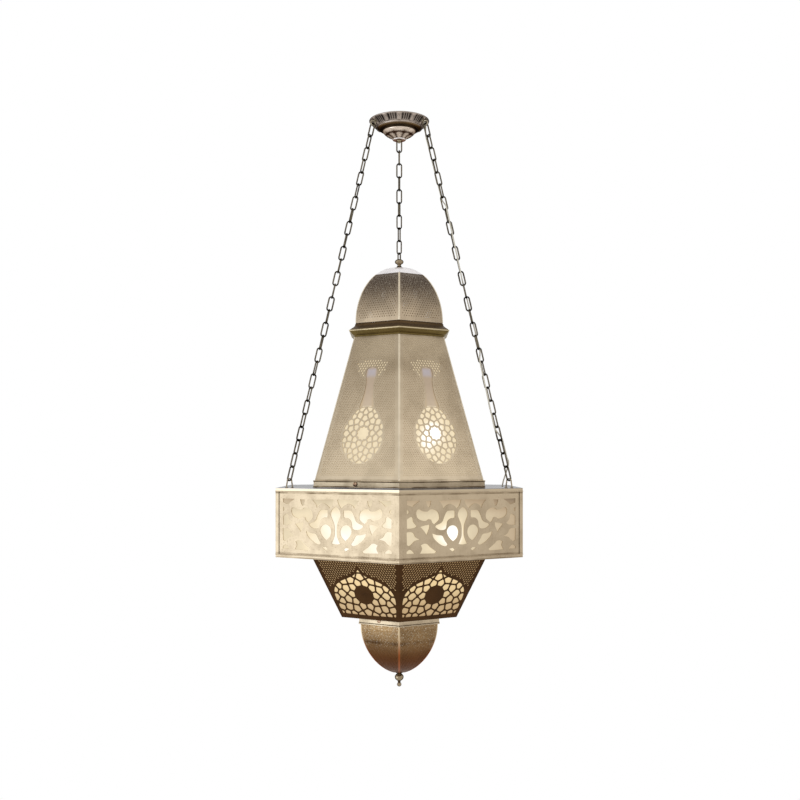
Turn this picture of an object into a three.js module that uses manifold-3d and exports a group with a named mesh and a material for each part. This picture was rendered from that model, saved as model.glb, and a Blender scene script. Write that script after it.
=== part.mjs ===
// A hexagonal pierced-metal lantern that hangs by three chains from a small round canopy.
// Millimetres, +Z up. The ceiling is the plane z = 0 and the lantern's axis is the Z axis.
// A corner of the hexagon faces -Y, so the flat faces look to 0, 60, 120 ... degrees.

import * as THREE from 'three';
import { mergeVertices } from 'three/addons/utils/BufferGeometryUtils.js';
import Module from 'manifold-3d';

const wasm = await Module();
wasm.setup();

// Shared clearances and counts
const FIT = 0.3;
const SIDES = 6;
const HALF_SIDE = Math.PI / SIDES;
const ROUND = 24;
const HOLE_CLEARANCE = 0.3;

// Canopy at the ceiling
const CANOPY_WALL = 1.2;
const CANOPY_RIM_RADIUS = 47.8;
const CANOPY_RIM_LAND = 1;
const FLUTED_RING_RADIUS = 38;
const FLUTED_RING_DROP = 10;
const BEAD_RADIUS = 35.6;
const BEAD_RISE = 1.2;
const COVE_RADIUS = 33;
const COVE_DROP = 3;
const DISH_RADIUS = 26.4;
const DISH_DROP = 3.4;
const DISH_FLANGE_RADIUS = 12;
const CONE_WAIST_RADIUS = 16;
const CONE_FOOT_RADIUS = 9.8;
const CONE_HEIGHT = 11.4;
const COLLAR_RADIUS = 10.2;
const COLLAR_HEIGHT = 2.2;
const CAP_NUT_RADIUS = 4.4;
const CAP_NUT_SPIGOT_RADIUS = 3.4;
const CAP_NUT_LENGTH = 4.2;
const CAP_NUT_KNOB_RADIUS = 2.4;
const CAP_NUT_FLOOR = 2.8;

// Ceiling strap and threaded rod inside the canopy
const STRAP_END_MARGIN = 5;
const STRAP_WIDTH = 22;
const STRAP_THICKNESS = 2;
const STRAP_DIP = 6;
const STRAP_DIP_LENGTH = 30;
const STRAP_SLOPE_LENGTH = 9;
const CEILING_HOLE_RADIUS = 2.4;
const CEILING_HOLE_SPACING = 70;
const ROD_RADIUS = 1.9;
const ROD_HEAD_RADIUS = 4;
const ROD_HEAD_HEIGHT = 3.4;
const ROD_NUT_RADIUS = 4.2;
const ROD_NUT_HEIGHT = 3.6;

// Chains: three, each of 28 links
const LINK_COUNT = 28;
const LINK_LENGTH = 22.505;
const LINK_WIDTH = 7.8;
const WIRE = 2.4;
const OPEN_PLAY = 0.5;
const FUSED_BITE = 0.5;
const HOOK_PIVOT_RADIUS = 47.9;
const HOOK_PIVOT_DROP = 13;
const HOOK_SHANK_RADIUS = 1.2;
const HOOK_HEAD_RADIUS = 3;
const HOOK_HEAD_THICKNESS = 1.4;
const EYELET_PIVOT_RADIUS = 190.4;
const EYELET_PIVOT_HEIGHT = 12.2;
const EYELET_WIRE = 2;
const EYELET_BASE_WIDTH = 9.4;
const EYELET_HEAD_RADIUS = 2.1;
const EYELET_HEAD_THICKNESS = 1.1;

// Lamp cord beside the right-hand chain
const CORD_RADIUS = 1.05;
const CORD_SIDES = 8;
const CORD_OFFSET = 6.6;
const CORD_STEP = 10;
const CORD_CROSSING_LINKS = [7, 13, 19, 25];
const CORD_END_GAP = 2.2;
const CORD_HOLE_REACH = 41.4;
const CORD_HOLE_SIDESTEP = 8.6;
const CORD_PLATE_INSET = 11.9;
const CORD_PLATE_SIDESTEP = 2.2;

// Lantern, corner radii of the hexagon and heights, from the top of the band upwards
const SHEET = 1;
const CONE_BOTTOM_RADIUS = 147.9;
const LIP_OVERHANG = 3.4;
const LIP_HEIGHT = 10.4;
const LIP_SHELF = 12;
const CONE_TOP_RADIUS = 80.4;
const CONE_PANEL_HEIGHT = 221.6;
const SEAM_GAP = 0.4;
const MOULDING_HEIGHT = 21.4;
const MOULDING_FOOT_RADIUS = 79.9;
const MOULDING_RIDGE_RADIUS = 89.7;
const MOULDING_TOP_RADIUS = 77.4;
const MOULDING_WALL = 3;
const DOME_RADIUS = 78;
const DOME_HEIGHT = 94;
const DOME_WALL = 1.2;
const CAP_HEIGHT = 14;
const CAP_HOLE_RADIUS = 2.2;
const TOP_FINIAL_RADIUS = 7.1;
const FINIAL_STUD_RADIUS = 1.8;

// Band with the large pierced windows
const BAND_RADIUS = 212.5;
const BAND_HEIGHT = 103.1;
const PLATE_THICKNESS = 1.2;
const BAND_FLANGE_HEIGHT = 4.8;
const BAND_FLANGE_WALL = 0.8;
const FLOOR_OPENING_RADIUS = 148;

// Half width and height of the panel that the band's windows are drawn for
const WINDOWS_DRAWN_HALF = 104.84;
const WINDOWS_DRAWN_HEIGHT = 103.1;

// Lower section, collar, lower dome and bottom finial
const LOWER_TOP_RADIUS = 153.9;
const LOWER_BOTTOM_RADIUS = 101.7;
const LOWER_HEIGHT = 97.4;
const LOWER_WALL = 1.2;
const LOWER_RIM_WIDTH = 5;
const COLLAR_RING_RADIUS = 72.9;
const COLLAR_RING_HEIGHT = 12.7;
const SPIGOT_HEIGHT = 8;
const LOWER_DOME_RADIUS = 69;
const LOWER_DOME_SKIRT = 2.5;
const LOWER_DOME_HEIGHT = 79.4;
const LOWER_DOME_FLANGE = 9;
const BOTTOM_FINIAL_RADIUS = 7.1;
const BOTTOM_FINIAL_LENGTH = 23.2;

// Pierced ten-fold patterns: heights are from the foot of a face, bars are the metal between two openings
const STAR_POINTS = 10;
const PATTERN_BAR = 2.2;
const STAR_HEIGHT = 72;
const STAR_RADIUS = 10.4;
const KITE_RING_RADIUS = 15.9;
const KITE_HALF_LENGTH = 3.4;
const CELL_RING_RADIUS = 24;
const CELL_HALF_LENGTH = 4.2;
const NECK_FOOT = 117;
const NECK_HEAD = 157;
const NECK_FOOT_HALF = 9;
const NECK_WAIST_HALF = 5.4;
const NECK_HEAD_HALF = 7;
const NECK_WAIST_RISE = 4;
const ROSETTE_HEIGHT = 40.5;
const ROSETTE_RING_RADIUS = 23;
const ROSETTE_HALF_LENGTH = 6;

// Round-head screws of the base lip and the collar
const SCREW_RADIUS = 1.6;
const SCREW_HEAD_RADIUS = 3.6;
const SCREW_HEAD_HEIGHT = 1.7;
const SCREW_LENGTH = 6;
const SCREW_FACES = [-120, 0, 120];

// Frosted liners behind the pierced sheets
const LINER = 0.6;

// Lamps
const SPIDER_ARM_WIDTH = 24;
const SPIDER_ARM_LENGTH = 144;
const SPIDER_THICKNESS = 3;
const LAMP_CIRCLE_RADIUS = 75;
const LAMP_ANGLES = [0, 120, 240];
const HOLDER_RADIUS = 17;
const HOLDER_HEIGHT = 43;
const HOLDER_FLOOR = 8;
const BULB_BASE_RADIUS = 13.2;
const BULB_NECK_LENGTH = 12;
const BULB_RADIUS = 30;
const BULB_LENGTH = 110;
const LOWER_ROD_RADIUS = 2;
const LOWER_ROD_HEAD_RADIUS = 5;
const LOWER_ROD_HEAD_HEIGHT = 4;
const ROD_GRIP = 9;

const radians = THREE.MathUtils.degToRad;
const cordPlateRadius = EYELET_PIVOT_RADIUS - CORD_PLATE_INSET;

// Geometry helpers

function closed(geometry) {
  const bare = geometry.clone();
  bare.deleteAttribute('normal');
  bare.deleteAttribute('uv');
  const merged = mergeVertices(bare, 1e-4);
  const index = merged.getIndex().array;
  const kept = [];
  for (let i = 0; i < index.length; i += 3) {
    const [a, b, c] = [index[i], index[i + 1], index[i + 2]];
    if (a !== b && b !== c && c !== a) kept.push(a, b, c);
  }
  if (signedVolume(merged.getAttribute('position'), kept) < 0) kept.reverse();
  merged.setIndex(kept);
  merged.computeVertexNormals();
  return merged;
}

function signedVolume(position, index) {
  const a = new THREE.Vector3();
  const b = new THREE.Vector3();
  const c = new THREE.Vector3();
  let sum = 0;
  for (let i = 0; i < index.length; i += 3) {
    a.fromBufferAttribute(position, index[i]);
    b.fromBufferAttribute(position, index[i + 1]);
    c.fromBufferAttribute(position, index[i + 2]);
    sum += a.dot(b.cross(c));
  }
  return sum / 6;
}

function asSolid(geometry) {
  const body = closed(geometry);
  const vertProperties = Float32Array.from(body.getAttribute('position').array);
  const triVerts = Uint32Array.from(body.getIndex().array);
  return new wasm.Manifold(new wasm.Mesh({ numProp: 3, vertProperties, triVerts }));
}

function asGeometry(solid) {
  const mesh = solid.getMesh();
  const geometry = new THREE.BufferGeometry();
  const position = new THREE.Float32BufferAttribute(mesh.vertProperties, 3);
  geometry.setAttribute('position', position);
  geometry.setIndex(Array.from(mesh.triVerts));
  geometry.computeVertexNormals();
  return geometry;
}

function joined(geometries) {
  const solids = geometries.map(asSolid);
  return asGeometry(solids.reduce((whole, next) => whole.add(next)));
}

function cut(geometry, cutters) {
  const solids = cutters.map(asSolid);
  return asGeometry(solids.reduce((whole, next) => whole.subtract(next), asSolid(geometry)));
}

// A profile of [radius, height] points turned about +Z, with a corner at -90 degrees.
function turned(profile, sides = SIDES) {
  const points = profile.map(([radius, height]) => new THREE.Vector2(radius, height));
  const onAxis = profile[0][0] === 0 && profile[profile.length - 1][0] === 0;
  if (!onAxis) points.push(points[0].clone());
  return closed(new THREE.LatheGeometry(points, sides).rotateX(Math.PI / 2));
}

// The closed outline of a sheet whose visible side runs down the given points.
function sheetProfile(points, wall) {
  const inner = points.map((point, i) => {
    const normals = [];
    if (i > 0) normals.push(inward(points[i - 1], point));
    if (i < points.length - 1) normals.push(inward(point, points[i + 1]));
    const first = normals[0];
    const second = normals[normals.length - 1];
    const share = wall / (1 + first.dot(second));
    const x = point[0] + (first.x + second.x) * share;
    const y = point[1] + (first.y + second.y) * share;
    return [x, y];
  });
  return [...points, ...inner.reverse()];
}

function inward(from, to) {
  const run = new THREE.Vector2(to[0] - from[0], to[1] - from[1]).normalize();
  return new THREE.Vector2(run.y, -run.x);
}

// A curve through given points whose samples are exactly those points.
class Route extends THREE.Curve {
  constructor(points) {
    super();
    this.points = points;
  }

  getPoint(t, target = new THREE.Vector3()) {
    const place = THREE.MathUtils.clamp(t, 0, 1) * (this.points.length - 1);
    const first = Math.min(Math.floor(place), this.points.length - 2);
    return target.lerpVectors(this.points[first], this.points[first + 1], place - first);
  }

  getPointAt(u, target) {
    return this.getPoint(u, target);
  }

  getTangentAt(u, target) {
    return this.getTangent(u, target);
  }
}

function tube(points, radius, sides) {
  const section = new THREE.Shape();
  for (let i = 0; i < sides; i += 1) {
    const angle = (2 * Math.PI * i) / sides;
    const x = radius * Math.cos(angle);
    const y = radius * Math.sin(angle);
    if (i === 0) section.moveTo(x, y);
    else section.lineTo(x, y);
  }
  const options = { steps: points.length - 1, extrudePath: new Route(points) };
  return closed(new THREE.ExtrudeGeometry(section, { ...options, bevelEnabled: false }));
}

function cylinder(radius, low, high, sides = 8) {
  const geometry = new THREE.CylinderGeometry(radius, radius, high - low, sides);
  return geometry.rotateX(Math.PI / 2).translate(0, 0, (low + high) / 2);
}

function plate(outline, holes, thickness) {
  const shape = new THREE.Shape(outline.map(([x, y]) => new THREE.Vector2(x, y)));
  holes.forEach((hole) => {
    shape.holes.push(new THREE.Path(hole.map(([x, y]) => new THREE.Vector2(x, y))));
  });
  const geometry = new THREE.ExtrudeGeometry(shape, { depth: thickness, bevelEnabled: false });
  return closed(geometry.translate(0, 0, -thickness));
}

// The placement on a face of the hexagon: x runs across the face, y up it and z out of it.
function faceMatrix(azimuth, apothem, height, lean = 0) {
  const out = new THREE.Vector3(
    Math.cos(azimuth) * Math.cos(lean),
    Math.sin(azimuth) * Math.cos(lean),
    Math.sin(lean),
  );
  const across = new THREE.Vector3(-Math.sin(azimuth), Math.cos(azimuth), 0);
  const up = out.clone().cross(across);
  const matrix = new THREE.Matrix4().makeBasis(across, up, out);
  return matrix.setPosition(Math.cos(azimuth) * apothem, Math.sin(azimuth) * apothem, height);
}

function apothem(cornerRadius) {
  return cornerRadius * Math.cos(HALF_SIDE);
}

function cornerRadius(apothemLength) {
  return apothemLength / Math.cos(HALF_SIDE);
}

function material(colour, roughness, metalness) {
  return new THREE.MeshStandardMaterial({ color: colour, roughness, metalness });
}

const nickel = material(0xb9b4a8, 0.32, 0.9);
const steel = material(0xa5a6a8, 0.4, 0.9);
const antiqueSilver = material(0x9c8f84, 0.45, 0.85);
const canopyBrass = material(0xb49a7c, 0.4, 0.85);
const coneBrass = material(0xbfb091, 0.42, 0.8);
const domeBrass = material(0x7a6650, 0.45, 0.8);
const oldBrass = material(0x6b5c38, 0.42, 0.85);
const bandBrass = material(0xd8cbb2, 0.42, 0.75);
const plateGrey = material(0x83838c, 0.45, 0.8);
const bronze = material(0x56351c, 0.45, 0.8);
const lowerDomeBrass = material(0xb08a58, 0.4, 0.8);
const frosted = material(0xfff1d2, 0.7, 0);
const bulbGlass = material(0xfffbf0, 0.25, 0);
const ceramic = material(0xf0ece2, 0.5, 0);
const cordPlastic = material(0xd9c27a, 0.3, 0);

const model = new THREE.Group();
const lantern = new THREE.Group();
model.add(lantern);

function addPiece(parent, name, geometry, look, matrix = null) {
  const mesh = new THREE.Mesh(geometry, look);
  mesh.name = name;
  if (matrix) matrix.decompose(mesh.position, mesh.quaternion, mesh.scale);
  parent.add(mesh);
  return mesh;
}

// Heights in the canopy, from the ceiling down
const beadZ = -FLUTED_RING_DROP + BEAD_RISE;
const coveZ = -FLUTED_RING_DROP - COVE_DROP;
const dishZ = coveZ - DISH_DROP;
const coneTopZ = dishZ - FIT;
const coneFootZ = coneTopZ - CONE_HEIGHT;
const collarTopZ = coneFootZ - FIT;
const collarFootZ = collarTopZ - COLLAR_HEIGHT;
const capNutTopZ = collarFootZ - FIT;
const capNutFootZ = capNutTopZ - CAP_NUT_LENGTH;
const strapFootZ = -STRAP_DIP - STRAP_THICKNESS;
const rodHeadFootZ = -STRAP_DIP + FIT;
const rodHoleRadius = ROD_RADIUS + HOLE_CLEARANCE;

// Chain geometry shared by the hooks, links, eyelets and the lantern's height
const OPEN_SPACING = WIRE + OPEN_PLAY;
const FUSED_SPACING = WIRE - FUSED_BITE;
const chains = [
  { name: 'right', azimuth: radians(-30), first: radians(30), twist: radians(-82), loose: [1] },
  { name: 'left', azimuth: radians(210), first: radians(150), twist: radians(82), loose: [1] },
  { name: 'back', azimuth: radians(90), first: 0, twist: radians(90), loose: [1, LINK_COUNT - 1] },
];

function spacings(loose) {
  const between = Array.from({ length: LINK_COUNT - 1 }, (_, i) => i + 1);
  return between.map((joint) => (loose.includes(joint) ? OPEN_SPACING : FUSED_SPACING));
}

function overlapOf(loose) {
  return spacings(loose).reduce((sum, spacing) => sum + spacing, OPEN_SPACING);
}

const chainSpan = LINK_COUNT * LINK_LENGTH - overlapOf(chains[0].loose);
const chainSpread = EYELET_PIVOT_RADIUS - HOOK_PIVOT_RADIUS;
const chainDrop = Math.sqrt(chainSpan ** 2 - chainSpread ** 2);
const lanternZ = -HOOK_PIVOT_DROP - chainDrop - EYELET_PIVOT_HEIGHT;
lantern.position.z = lanternZ;

// In the plane of one chain: x is away from the axis, z is up, y is across.
function chainPlane(azimuth) {
  return new THREE.Matrix4().makeRotationZ(azimuth);
}

const chainRun = new THREE.Vector3(chainSpread, 0, -chainDrop).divideScalar(chainSpan);
const hookPivot = new THREE.Vector3(HOOK_PIVOT_RADIUS, 0, -HOOK_PIVOT_DROP);
const eyeletPivot = new THREE.Vector3(EYELET_PIVOT_RADIUS, 0, lanternZ + EYELET_PIVOT_HEIGHT);
const hookRingReach = LINK_WIDTH / 2 - OPEN_SPACING / 2;
const hookCentre = hookPivot.clone().addScaledVector(chainRun, -hookRingReach);
const slopeRun = new THREE.Vector3(
  CANOPY_RIM_RADIUS - FLUTED_RING_RADIUS,
  0,
  FLUTED_RING_DROP - CANOPY_RIM_LAND,
).normalize();
const slopeOut = new THREE.Vector3(slopeRun.z, 0, -slopeRun.x);
const hookStandoff = hookCentre
  .clone()
  .sub(new THREE.Vector3(CANOPY_RIM_RADIUS, 0, -CANOPY_RIM_LAND))
  .dot(slopeOut);

// A stadium-shaped link in the x-y plane, made from an eight-cornered ring of square wire.
function linkGeometry(length, width) {
  const ringRadius = width / 2 / Math.cos(Math.PI / 8);
  const geometry = closed(new THREE.TorusGeometry(ringRadius, WIRE / 2, 4, 8));
  geometry.rotateZ(Math.PI / 8);
  const position = geometry.getAttribute('position');
  const stretch = (length - width) / 2;
  for (let i = 0; i < position.count; i += 1) {
    const y = position.getY(i);
    position.setY(i, y + Math.sign(y) * stretch);
  }
  return geometry;
}

// Turns a geometry's +Z square out of the canopy's slope and moves it to a place in the chain's plane.
function alongSlope(geometry, place = hookCentre) {
  const across = new THREE.Vector3(0, -1, 0);
  const basis = new THREE.Matrix4().makeBasis(slopeRun, across, slopeOut);
  return geometry.applyMatrix4(basis.setPosition(place));
}

function hookGeometry() {
  const up = chainRun.clone().negate();
  const across = new THREE.Vector3(0, 1, 0);
  const side = up.clone().cross(across);
  const upright = new THREE.Matrix4().makeBasis(side, up, across.clone().negate());
  const ring = linkGeometry(LINK_WIDTH, LINK_WIDTH);
  ring.applyMatrix4(upright.setPosition(hookCentre));
  const wallBack = -hookStandoff - CANOPY_WALL - FIT;
  const headBack = wallBack - HOOK_HEAD_THICKNESS;
  const shank = alongSlope(cylinder(HOOK_SHANK_RADIUS, headBack, -LINK_WIDTH / 2 + WIRE / 4));
  const head = alongSlope(cylinder(HOOK_HEAD_RADIUS, headBack, wallBack));
  return joined([ring, shank, head]);
}

function hookHole(azimuth) {
  const drill = cylinder(HOOK_SHANK_RADIUS + HOLE_CLEARANCE, -hookStandoff - 4, -hookStandoff + 2);
  return alongSlope(drill).applyMatrix4(chainPlane(azimuth));
}

// The cord's hole in the canopy lies beside the right-hand hook.
const cordHoleFall = (CANOPY_RIM_RADIUS - CORD_HOLE_REACH) * (slopeRun.z / slopeRun.x);
const cordHoleZ = -CANOPY_RIM_LAND - cordHoleFall;
const cordHole = new THREE.Vector3(CORD_HOLE_REACH, CORD_HOLE_SIDESTEP, cordHoleZ);

function cordHoleDrill() {
  const drill = cylinder(CORD_RADIUS + 2 * HOLE_CLEARANCE, -4, 3);
  return alongSlope(drill, cordHole).applyMatrix4(chainPlane(chains[0].azimuth));
}

// Canopy pieces

function strapGeometry() {
  const half = CEILING_HOLE_SPACING / 2 + STRAP_END_MARGIN;
  const dip = STRAP_DIP_LENGTH / 2;
  const slope = dip + STRAP_SLOPE_LENGTH;
  const right = [[dip, -STRAP_DIP], [slope, 0], [half, 0]];
  const left = right.map(([x, z]) => [-x, z]).reverse();
  const outline = sheetProfile([...left, ...right], STRAP_THICKNESS);
  const shape = new THREE.Shape(outline.map(([x, z]) => new THREE.Vector2(x, z)));
  const bar = new THREE.ExtrudeGeometry(shape, { depth: STRAP_WIDTH, bevelEnabled: false });
  bar.translate(0, 0, -STRAP_WIDTH / 2).rotateX(Math.PI / 2);
  const deep = strapFootZ - 1;
  const holes = [-1, 1].map((side) => {
    const hole = cylinder(CEILING_HOLE_RADIUS, deep, 1);
    return hole.translate((side * CEILING_HOLE_SPACING) / 2, 0, 0);
  });
  return cut(bar, [cylinder(rodHoleRadius, deep, 1), ...holes]);
}

function dishGeometry() {
  const outline = [
    [CANOPY_RIM_RADIUS, 0],
    [CANOPY_RIM_RADIUS, -CANOPY_RIM_LAND],
    [FLUTED_RING_RADIUS, -FLUTED_RING_DROP],
    [(FLUTED_RING_RADIUS + BEAD_RADIUS) / 2, -FLUTED_RING_DROP],
    [BEAD_RADIUS, beadZ],
    [COVE_RADIUS, coveZ],
    [DISH_RADIUS, dishZ],
    [DISH_FLANGE_RADIUS, dishZ],
  ];
  const dish = turned(sheetProfile(outline, CANOPY_WALL), ROUND);
  const hookHoles = chains.map((chain) => hookHole(chain.azimuth));
  return cut(dish, [...hookHoles, cordHoleDrill()]);
}

function canopyConeGeometry() {
  const waistZ = (coneTopZ + 2 * coneFootZ) / 3;
  const outline = [
    [DISH_RADIUS, coneTopZ],
    [DISH_RADIUS, coneTopZ - 0.8],
    [(DISH_RADIUS + CONE_WAIST_RADIUS) / 2, (coneTopZ + waistZ) / 2],
    [CONE_WAIST_RADIUS, waistZ],
    [CONE_FOOT_RADIUS, coneFootZ],
    [rodHoleRadius, coneFootZ],
  ];
  return turned(sheetProfile(outline, CANOPY_WALL), ROUND);
}

function collarGeometry() {
  const bore = CAP_NUT_SPIGOT_RADIUS + FIT;
  const waist = COLLAR_RADIUS + 0.4;
  return turned([
    [bore, collarTopZ],
    [COLLAR_RADIUS, collarTopZ],
    [waist, (collarTopZ + collarFootZ) / 2],
    [COLLAR_RADIUS, collarFootZ],
    [bore, collarFootZ],
  ], 24);
}

function capNutGeometry() {
  const boreFootZ = capNutFootZ + CAP_NUT_FLOOR;
  const spigotTopZ = collarTopZ - FIT;
  return turned([
    [0, boreFootZ],
    [rodHoleRadius, boreFootZ],
    [rodHoleRadius, spigotTopZ],
    [CAP_NUT_SPIGOT_RADIUS, spigotTopZ],
    [CAP_NUT_SPIGOT_RADIUS, capNutTopZ],
    [CAP_NUT_RADIUS, capNutTopZ],
    [CAP_NUT_RADIUS, capNutTopZ - 1.2],
    [CAP_NUT_KNOB_RADIUS, capNutTopZ - 2.2],
    [CAP_NUT_KNOB_RADIUS, capNutFootZ + 0.9],
    [CAP_NUT_KNOB_RADIUS / 2, capNutFootZ],
    [0, capNutFootZ],
  ], 12);
}

function hangingRodGeometry() {
  const tip = capNutFootZ + CAP_NUT_FLOOR + FIT;
  const headTopZ = rodHeadFootZ + ROD_HEAD_HEIGHT;
  return turned([
    [0, headTopZ],
    [ROD_HEAD_RADIUS, headTopZ],
    [ROD_HEAD_RADIUS, rodHeadFootZ],
    [ROD_RADIUS, rodHeadFootZ],
    [ROD_RADIUS, tip],
    [0, tip],
  ], 12);
}

function rodNutGeometry() {
  const top = strapFootZ - FIT;
  const foot = top - ROD_NUT_HEIGHT;
  const bore = cornerRadius(rodHoleRadius);
  return turned([[bore, top], [ROD_NUT_RADIUS, top], [ROD_NUT_RADIUS, foot], [bore, foot]]);
}

addPiece(model, 'ceiling_crossbar', strapGeometry(), steel);
addPiece(model, 'hanging_rod', hangingRodGeometry(), steel);
addPiece(model, 'rod_nut', rodNutGeometry(), steel);
addPiece(model, 'canopy_dish', dishGeometry(), antiqueSilver);
addPiece(model, 'canopy_cone', canopyConeGeometry(), canopyBrass);
addPiece(model, 'canopy_collar', collarGeometry(), canopyBrass);
addPiece(model, 'canopy_cap_nut', capNutGeometry(), nickel);
chains.forEach((chain) => {
  const hook = hookGeometry();
  addPiece(model, `canopy_eye_${chain.name}`, hook, nickel, chainPlane(chain.azimuth));
});

// Chains

function linkLength(chain) {
  return (chainSpan + overlapOf(chain.loose)) / LINK_COUNT;
}

// Distance from the hook's pivot to the middle of each link.
function linkCentres(chain) {
  const length = linkLength(chain);
  const centres = [length / 2 - OPEN_SPACING / 2];
  spacings(chain.loose).forEach((spacing, i) => {
    centres.push(centres[i] + length - spacing);
  });
  return centres;
}

function hookInWorld(chain) {
  return hookPivot.clone().applyMatrix4(chainPlane(chain.azimuth));
}

function runInWorld(chain) {
  return chainRun.clone().applyMatrix4(chainPlane(chain.azimuth));
}

// The direction across link number `turn` (0 for the first), turned steadily down the chain.
function acrossDirection(chain, turn, extra) {
  const run = runInWorld(chain);
  const level = new THREE.Vector3(Math.cos(chain.first), Math.sin(chain.first), 0);
  level.addScaledVector(run, -level.dot(run)).normalize();
  const angle = turn * (chain.twist / (LINK_COUNT - 1)) + extra;
  return level.applyAxisAngle(run.clone().negate(), angle);
}

function placedLink(chain, number) {
  const turn = number - 1;
  const up = runInWorld(chain).negate();
  const across = acrossDirection(chain, turn, (turn * Math.PI) / 2);
  const normal = across.clone().cross(up);
  const centre = hookInWorld(chain).addScaledVector(up, -linkCentres(chain)[turn]);
  const matrix = new THREE.Matrix4().makeBasis(across, up, normal).setPosition(centre);
  return linkGeometry(linkLength(chain), LINK_WIDTH).applyMatrix4(matrix);
}

function linkRun(chain, first, last) {
  const links = [];
  for (let number = first; number <= last; number += 1) links.push(placedLink(chain, number));
  return links.length === 1 ? links[0] : joined(links);
}

chains.forEach((chain) => {
  const breaks = [0, ...chain.loose, LINK_COUNT];
  const endings = ['_top', '', '_end'];
  for (let i = 0; i + 1 < breaks.length; i += 1) {
    const name = `chain_${chain.name}${endings[i]}`;
    addPiece(model, name, linkRun(chain, breaks[i] + 1, breaks[i + 1]), nickel);
  }
});

// Lamp cord: beside the right-hand chain, passing through the openings of some of its links

const cordChain = chains[0];
const cordTurns = linkCentres(cordChain);

function cordPoint(distance, offset) {
  const pitch = (cordTurns[LINK_COUNT - 1] - cordTurns[0]) / (LINK_COUNT - 1);
  const turn = (distance - cordTurns[0]) / pitch;
  const normal = acrossDirection(cordChain, turn, Math.PI / 2);
  const point = hookInWorld(cordChain).addScaledVector(runInWorld(cordChain), distance);
  return point.addScaledVector(normal, offset);
}

function inChainPlane(x, y, z) {
  return new THREE.Vector3(x, y, z).applyMatrix4(chainPlane(cordChain.azimuth));
}

function cordTop() {
  const start = cordHole.clone().addScaledVector(slopeOut, CORD_END_GAP);
  return [
    inChainPlane(start.x, start.y, start.z),
    inChainPlane(start.x + 1.2, start.y - 0.8, start.z - 4.6),
    inChainPlane(start.x + 2, start.y - 3, start.z - 12),
  ];
}

function cordFoot() {
  const base = lanternZ + FIT;
  return [
    inChainPlane(cordPlateRadius + 1.2, CORD_PLATE_SIDESTEP, base + 9),
    inChainPlane(cordPlateRadius, CORD_PLATE_SIDESTEP, base + 1),
  ];
}

function straightCord(from, to, offset) {
  const steps = Math.max(1, Math.ceil((to - from) / CORD_STEP));
  const points = [];
  for (let i = 0; i < steps; i += 1) {
    points.push(cordPoint(from + ((to - from) * i) / steps, offset));
  }
  return points;
}

function cordRoute() {
  const points = cordTop();
  const halfCrossing = 9.5;
  let side = 1;
  let from = 17;
  CORD_CROSSING_LINKS.forEach((number) => {
    const middle = cordTurns[number - 1];
    points.push(...straightCord(from, middle - halfCrossing, side * CORD_OFFSET));
    [[-halfCrossing, 1], [-6, 0.76], [0, 0], [6, -0.76]].forEach(([along, share]) => {
      points.push(cordPoint(middle + along, side * share * CORD_OFFSET));
    });
    side = -side;
    from = middle + halfCrossing;
  });
  points.push(...straightCord(from, chainSpan - 14, side * CORD_OFFSET));
  return [...points, ...cordFoot()];
}

function canopyCordRoute() {
  const inside = cordHole.clone().addScaledVector(slopeOut, -4.4);
  return [
    inChainPlane(cordHole.x, cordHole.y, cordHole.z),
    inChainPlane(inside.x, inside.y, inside.z),
    inChainPlane(33, 4, -4.2),
    inChainPlane(28.5, 1.5, -3.6),
    inChainPlane(25, -1, -1.6),
  ];
}

const cordPlateHole = inChainPlane(cordPlateRadius, CORD_PLATE_SIDESTEP, 0);

addPiece(model, 'lamp_cord', tube(cordRoute(), CORD_RADIUS, CORD_SIDES), cordPlastic);
const canopyCord = tube(canopyCordRoute(), CORD_RADIUS, CORD_SIDES);
addPiece(model, 'lamp_cord_canopy', canopyCord, cordPlastic);

// Heights in the lantern, from the top of the band
const lipFootZ = FIT;
const lipTopZ = lipFootZ + LIP_HEIGHT;
const lipRadius = CONE_BOTTOM_RADIUS + LIP_OVERHANG;
const upstandHeight = lipTopZ - SHEET - FIT;
const upstandRadius = cornerRadius(apothem(lipRadius) - SHEET - FIT);
const plateOpeningRadius = cornerRadius(apothem(upstandRadius) - SHEET);
const coneSlope = (apothem(CONE_BOTTOM_RADIUS) - apothem(CONE_TOP_RADIUS)) / CONE_PANEL_HEIGHT;
const coneLean = Math.atan(coneSlope);
const coneFootRise = lipTopZ + FIT + SHEET * Math.sin(coneLean);
const coneHeadZ = coneFootRise + CONE_PANEL_HEIGHT;
const mouldingFootZ = coneHeadZ + FIT;
const mouldingTopZ = mouldingFootZ + MOULDING_HEIGHT;
const domeFootZ = mouldingTopZ + FIT;
const domeTopZ = domeFootZ + DOME_HEIGHT;
const capFootZ = domeTopZ - CAP_HEIGHT;
const bandFootZ = -BAND_HEIGHT;
const floorTopZ = bandFootZ + PLATE_THICKNESS;
const lowerTopZ = bandFootZ - FIT;
const lowerFootZ = lowerTopZ - LOWER_HEIGHT;
const collarRingTopZ = lowerFootZ - FIT;
const collarRingFootZ = collarRingTopZ - COLLAR_RING_HEIGHT;
const lowerDomeTopZ = collarRingFootZ - FIT;
const lowerDomeFootZ = lowerDomeTopZ - LOWER_DOME_SKIRT - LOWER_DOME_HEIGHT;

// Crown: finial, cap, dome and moulding

function domeRadius(height) {
  const share = (height - domeFootZ) / DOME_HEIGHT;
  return DOME_RADIUS * Math.sqrt(Math.max(0, 1 - share * share));
}

function domeGeometry() {
  const steps = 7;
  const top = capFootZ - FIT;
  const outline = Array.from({ length: steps + 1 }, (_, i) => {
    const height = top + ((domeFootZ - top) * i) / steps;
    return [domeRadius(height), height];
  });
  return turned(sheetProfile(outline, DOME_WALL));
}

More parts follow.
